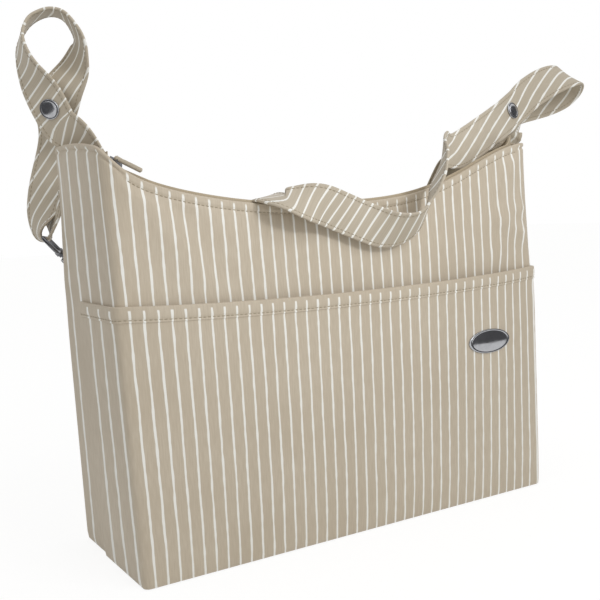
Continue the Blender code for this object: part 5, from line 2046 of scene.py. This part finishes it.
def dress_base(finishes: Finishes) -> None:
    """Give the base cloth and its stiff board their finishes.

    Args:
        finishes: The bag's materials.
    """
    base = dressed_node("base_panel", "base_cloth", finishes.cloth, "bag",
                        edge=0.6 * MM)
    set_phase(base.data, X_AXIS, OUTLINE.stripe_pitch)
    dressed_node("base_board", "stiff_board", finishes.board, "bag", edge=0.5 * MM)


# Studio

@dataclass(frozen=True)
class Studio:
    """A pale floor, a plain white sky, one broad soft lamp and dark cards for the metal."""

    sky: float = 0.65
    roughness: float = 0.9
    floor_colour: str = "#EDEDEB"
    floor_size: float = 14.0
    floor_glow: float = 1.12
    glow_share: float = 0.76
    lamp_power: float = 5.4
    lamp_size: float = 0.9
    lamp_place: Triple = (0.35, -1.2, 1.1)
    lamp_target: Triple = (0.0, 0.0, 0.22)
    spot_power: float = 16.0
    spot_angle: float = 24
    spot_place: Triple = (0.45, -1.2, 0.75)
    spot_target: Triple = (0.0, -0.05, 0.34)
    card_colour: str = "#707073"
    cards: tuple[tuple[float, float, float, float, float], ...] = (
        (-0.62, -0.45, -0.62, 0.4, 0.55), (0.3, -0.6, 1.0, -0.1, 0.7))

    def seen(self, tree: bpy.types.NodeTree) -> bpy.types.NodeSocket:
        """1 for rays from the camera, and for what metal shows of the background.

        Args:
            tree: The tree that gets the nodes.

        Returns:
            The number.
        """
        path = add_node(tree, "ShaderNodeLightPath").outputs
        either = maths(tree, "MAXIMUM", path["Is Camera Ray"], path["Is Glossy Ray"])
        return maths(tree, "MAXIMUM", either, path["Is Transmission Ray"])

    def build(self) -> None:
        """Make the floor, the sky and the lamp."""
        scene = bpy.context.scene
        scene.view_settings.view_transform = "Standard"
        world = bpy.data.worlds.new("white_studio")
        world.use_nodes = True
        scene.world = world
        tree = world.node_tree
        lit = tree.nodes["Background"]
        set_inputs(tree, lit, {"Color": (1, 1, 1, 1), "Strength": self.sky})
        shown = add_node(tree, "ShaderNodeBackground", None, {"Color": (1, 1, 1, 1), "Strength": 1.0})
        both = add_node(tree, "ShaderNodeMixShader", None,
                        {0: self.seen(tree), 1: lit.outputs[0], 2: shown.outputs[0]})
        set_inputs(tree, tree.nodes["World Output"], {"Surface": both.outputs[0]})
        self.build_floor()
        self.build_cards()
        data = bpy.data.lights.new("soft_lamp", "AREA")
        data.energy = self.lamp_power
        data.size = self.lamp_size
        self.hang(data, self.lamp_place, self.lamp_target)
        data = bpy.data.lights.new("upper_spot", "SPOT")
        data.energy = self.spot_power
        data.spot_size = math.radians(self.spot_angle)
        data.spot_blend = 1.0
        data.shadow_soft_size = 0.12
        self.hang(data, self.spot_place, self.spot_target)

    def hang(self, data: bpy.types.Light, place: tuple, target: tuple) -> None:
        """Hang a lamp at a place, turned to a target.

        Args:
            data: The lamp.
            place: Where it hangs.
            target: What it is turned to.
        """
        lamp = link_object(data.name, data)
        turn = (Vector(target) - Vector(place)).to_track_quat("-Z", "Y").to_matrix().to_4x4()
        lamp.matrix_world = Matrix.Translation(Vector(place)) @ turn

    def build_cards(self) -> None:
        """Stand dark cards to the sides, which only the metal's reflections show."""
        made, tree, shader = new_material("matt_black_card")
        set_inputs(tree, shader, {"Base Color": linear(self.card_colour),
                                  "Roughness": self.roughness})
        for number, (x, y, end_x, end_y, height) in enumerate(self.cards):
            mesh = bpy.data.meshes.new(f"card_{number}")
            mesh.from_pydata([(x, y, 0.01), (end_x, end_y, 0.01), (end_x, end_y, height),
                              (x, y, height)], [], [(0, 1, 2, 3)])
            mesh.materials.append(made)
            card = link_object(f"card_{number}", mesh)
            card.visible_camera = False
            card.visible_diffuse = False
            card.visible_shadow = False

    def build_floor(self) -> None:
        """Make the floor, which shows white but keeps a faint shadow."""
        half = self.floor_size / 2
        mesh = bpy.data.meshes.new("floor")
        mesh.from_pydata([(-half, -half, 0), (half, -half, 0), (half, half, 0), (-half, half, 0)],
                         [], [(0, 1, 2, 3)])
        floor = link_object("floor", mesh)
        made, tree, shader = new_material("matt_white_paint")
        set_inputs(tree, shader, {"Base Color": linear(self.floor_colour),
                                  "Roughness": self.roughness, "Specular IOR Level": 0.1})
        glow = add_node(tree, "ShaderNodeEmission", None,
                        {"Color": (1, 1, 1, 1), "Strength": self.floor_glow})
        share = maths(tree, "MULTIPLY", self.seen(tree), self.glow_share)
        both = add_node(tree, "ShaderNodeMixShader", None,
                        {0: share, 1: shader.outputs[0], 2: glow.outputs[0]})
        set_inputs(tree, tree.nodes["Material Output"], {"Surface": both.outputs[0]})
        mesh.materials.append(made)


def main() -> None:
    """Build every piece of the bag in order, then the studio."""
    logging.basicConfig(level=logging.INFO, format="%(name)s %(message)s")
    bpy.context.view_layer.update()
    CAMERA.build()
    finishes = Finishes.made()
    BodyCloth(finishes).build()
    pocket = FrontPocket(finishes)
    pocket.build()
    Lining(finishes).build()
    Zip(finishes).build()
    strap = Strap(finishes)
    strap.build()
    Snaps(finishes, strap).build()
    Badge(finishes, pocket).build()
    Hardware(finishes).build()
    dress_base(finishes)
    Studio().build()


if __name__ == "__main__":
    main()
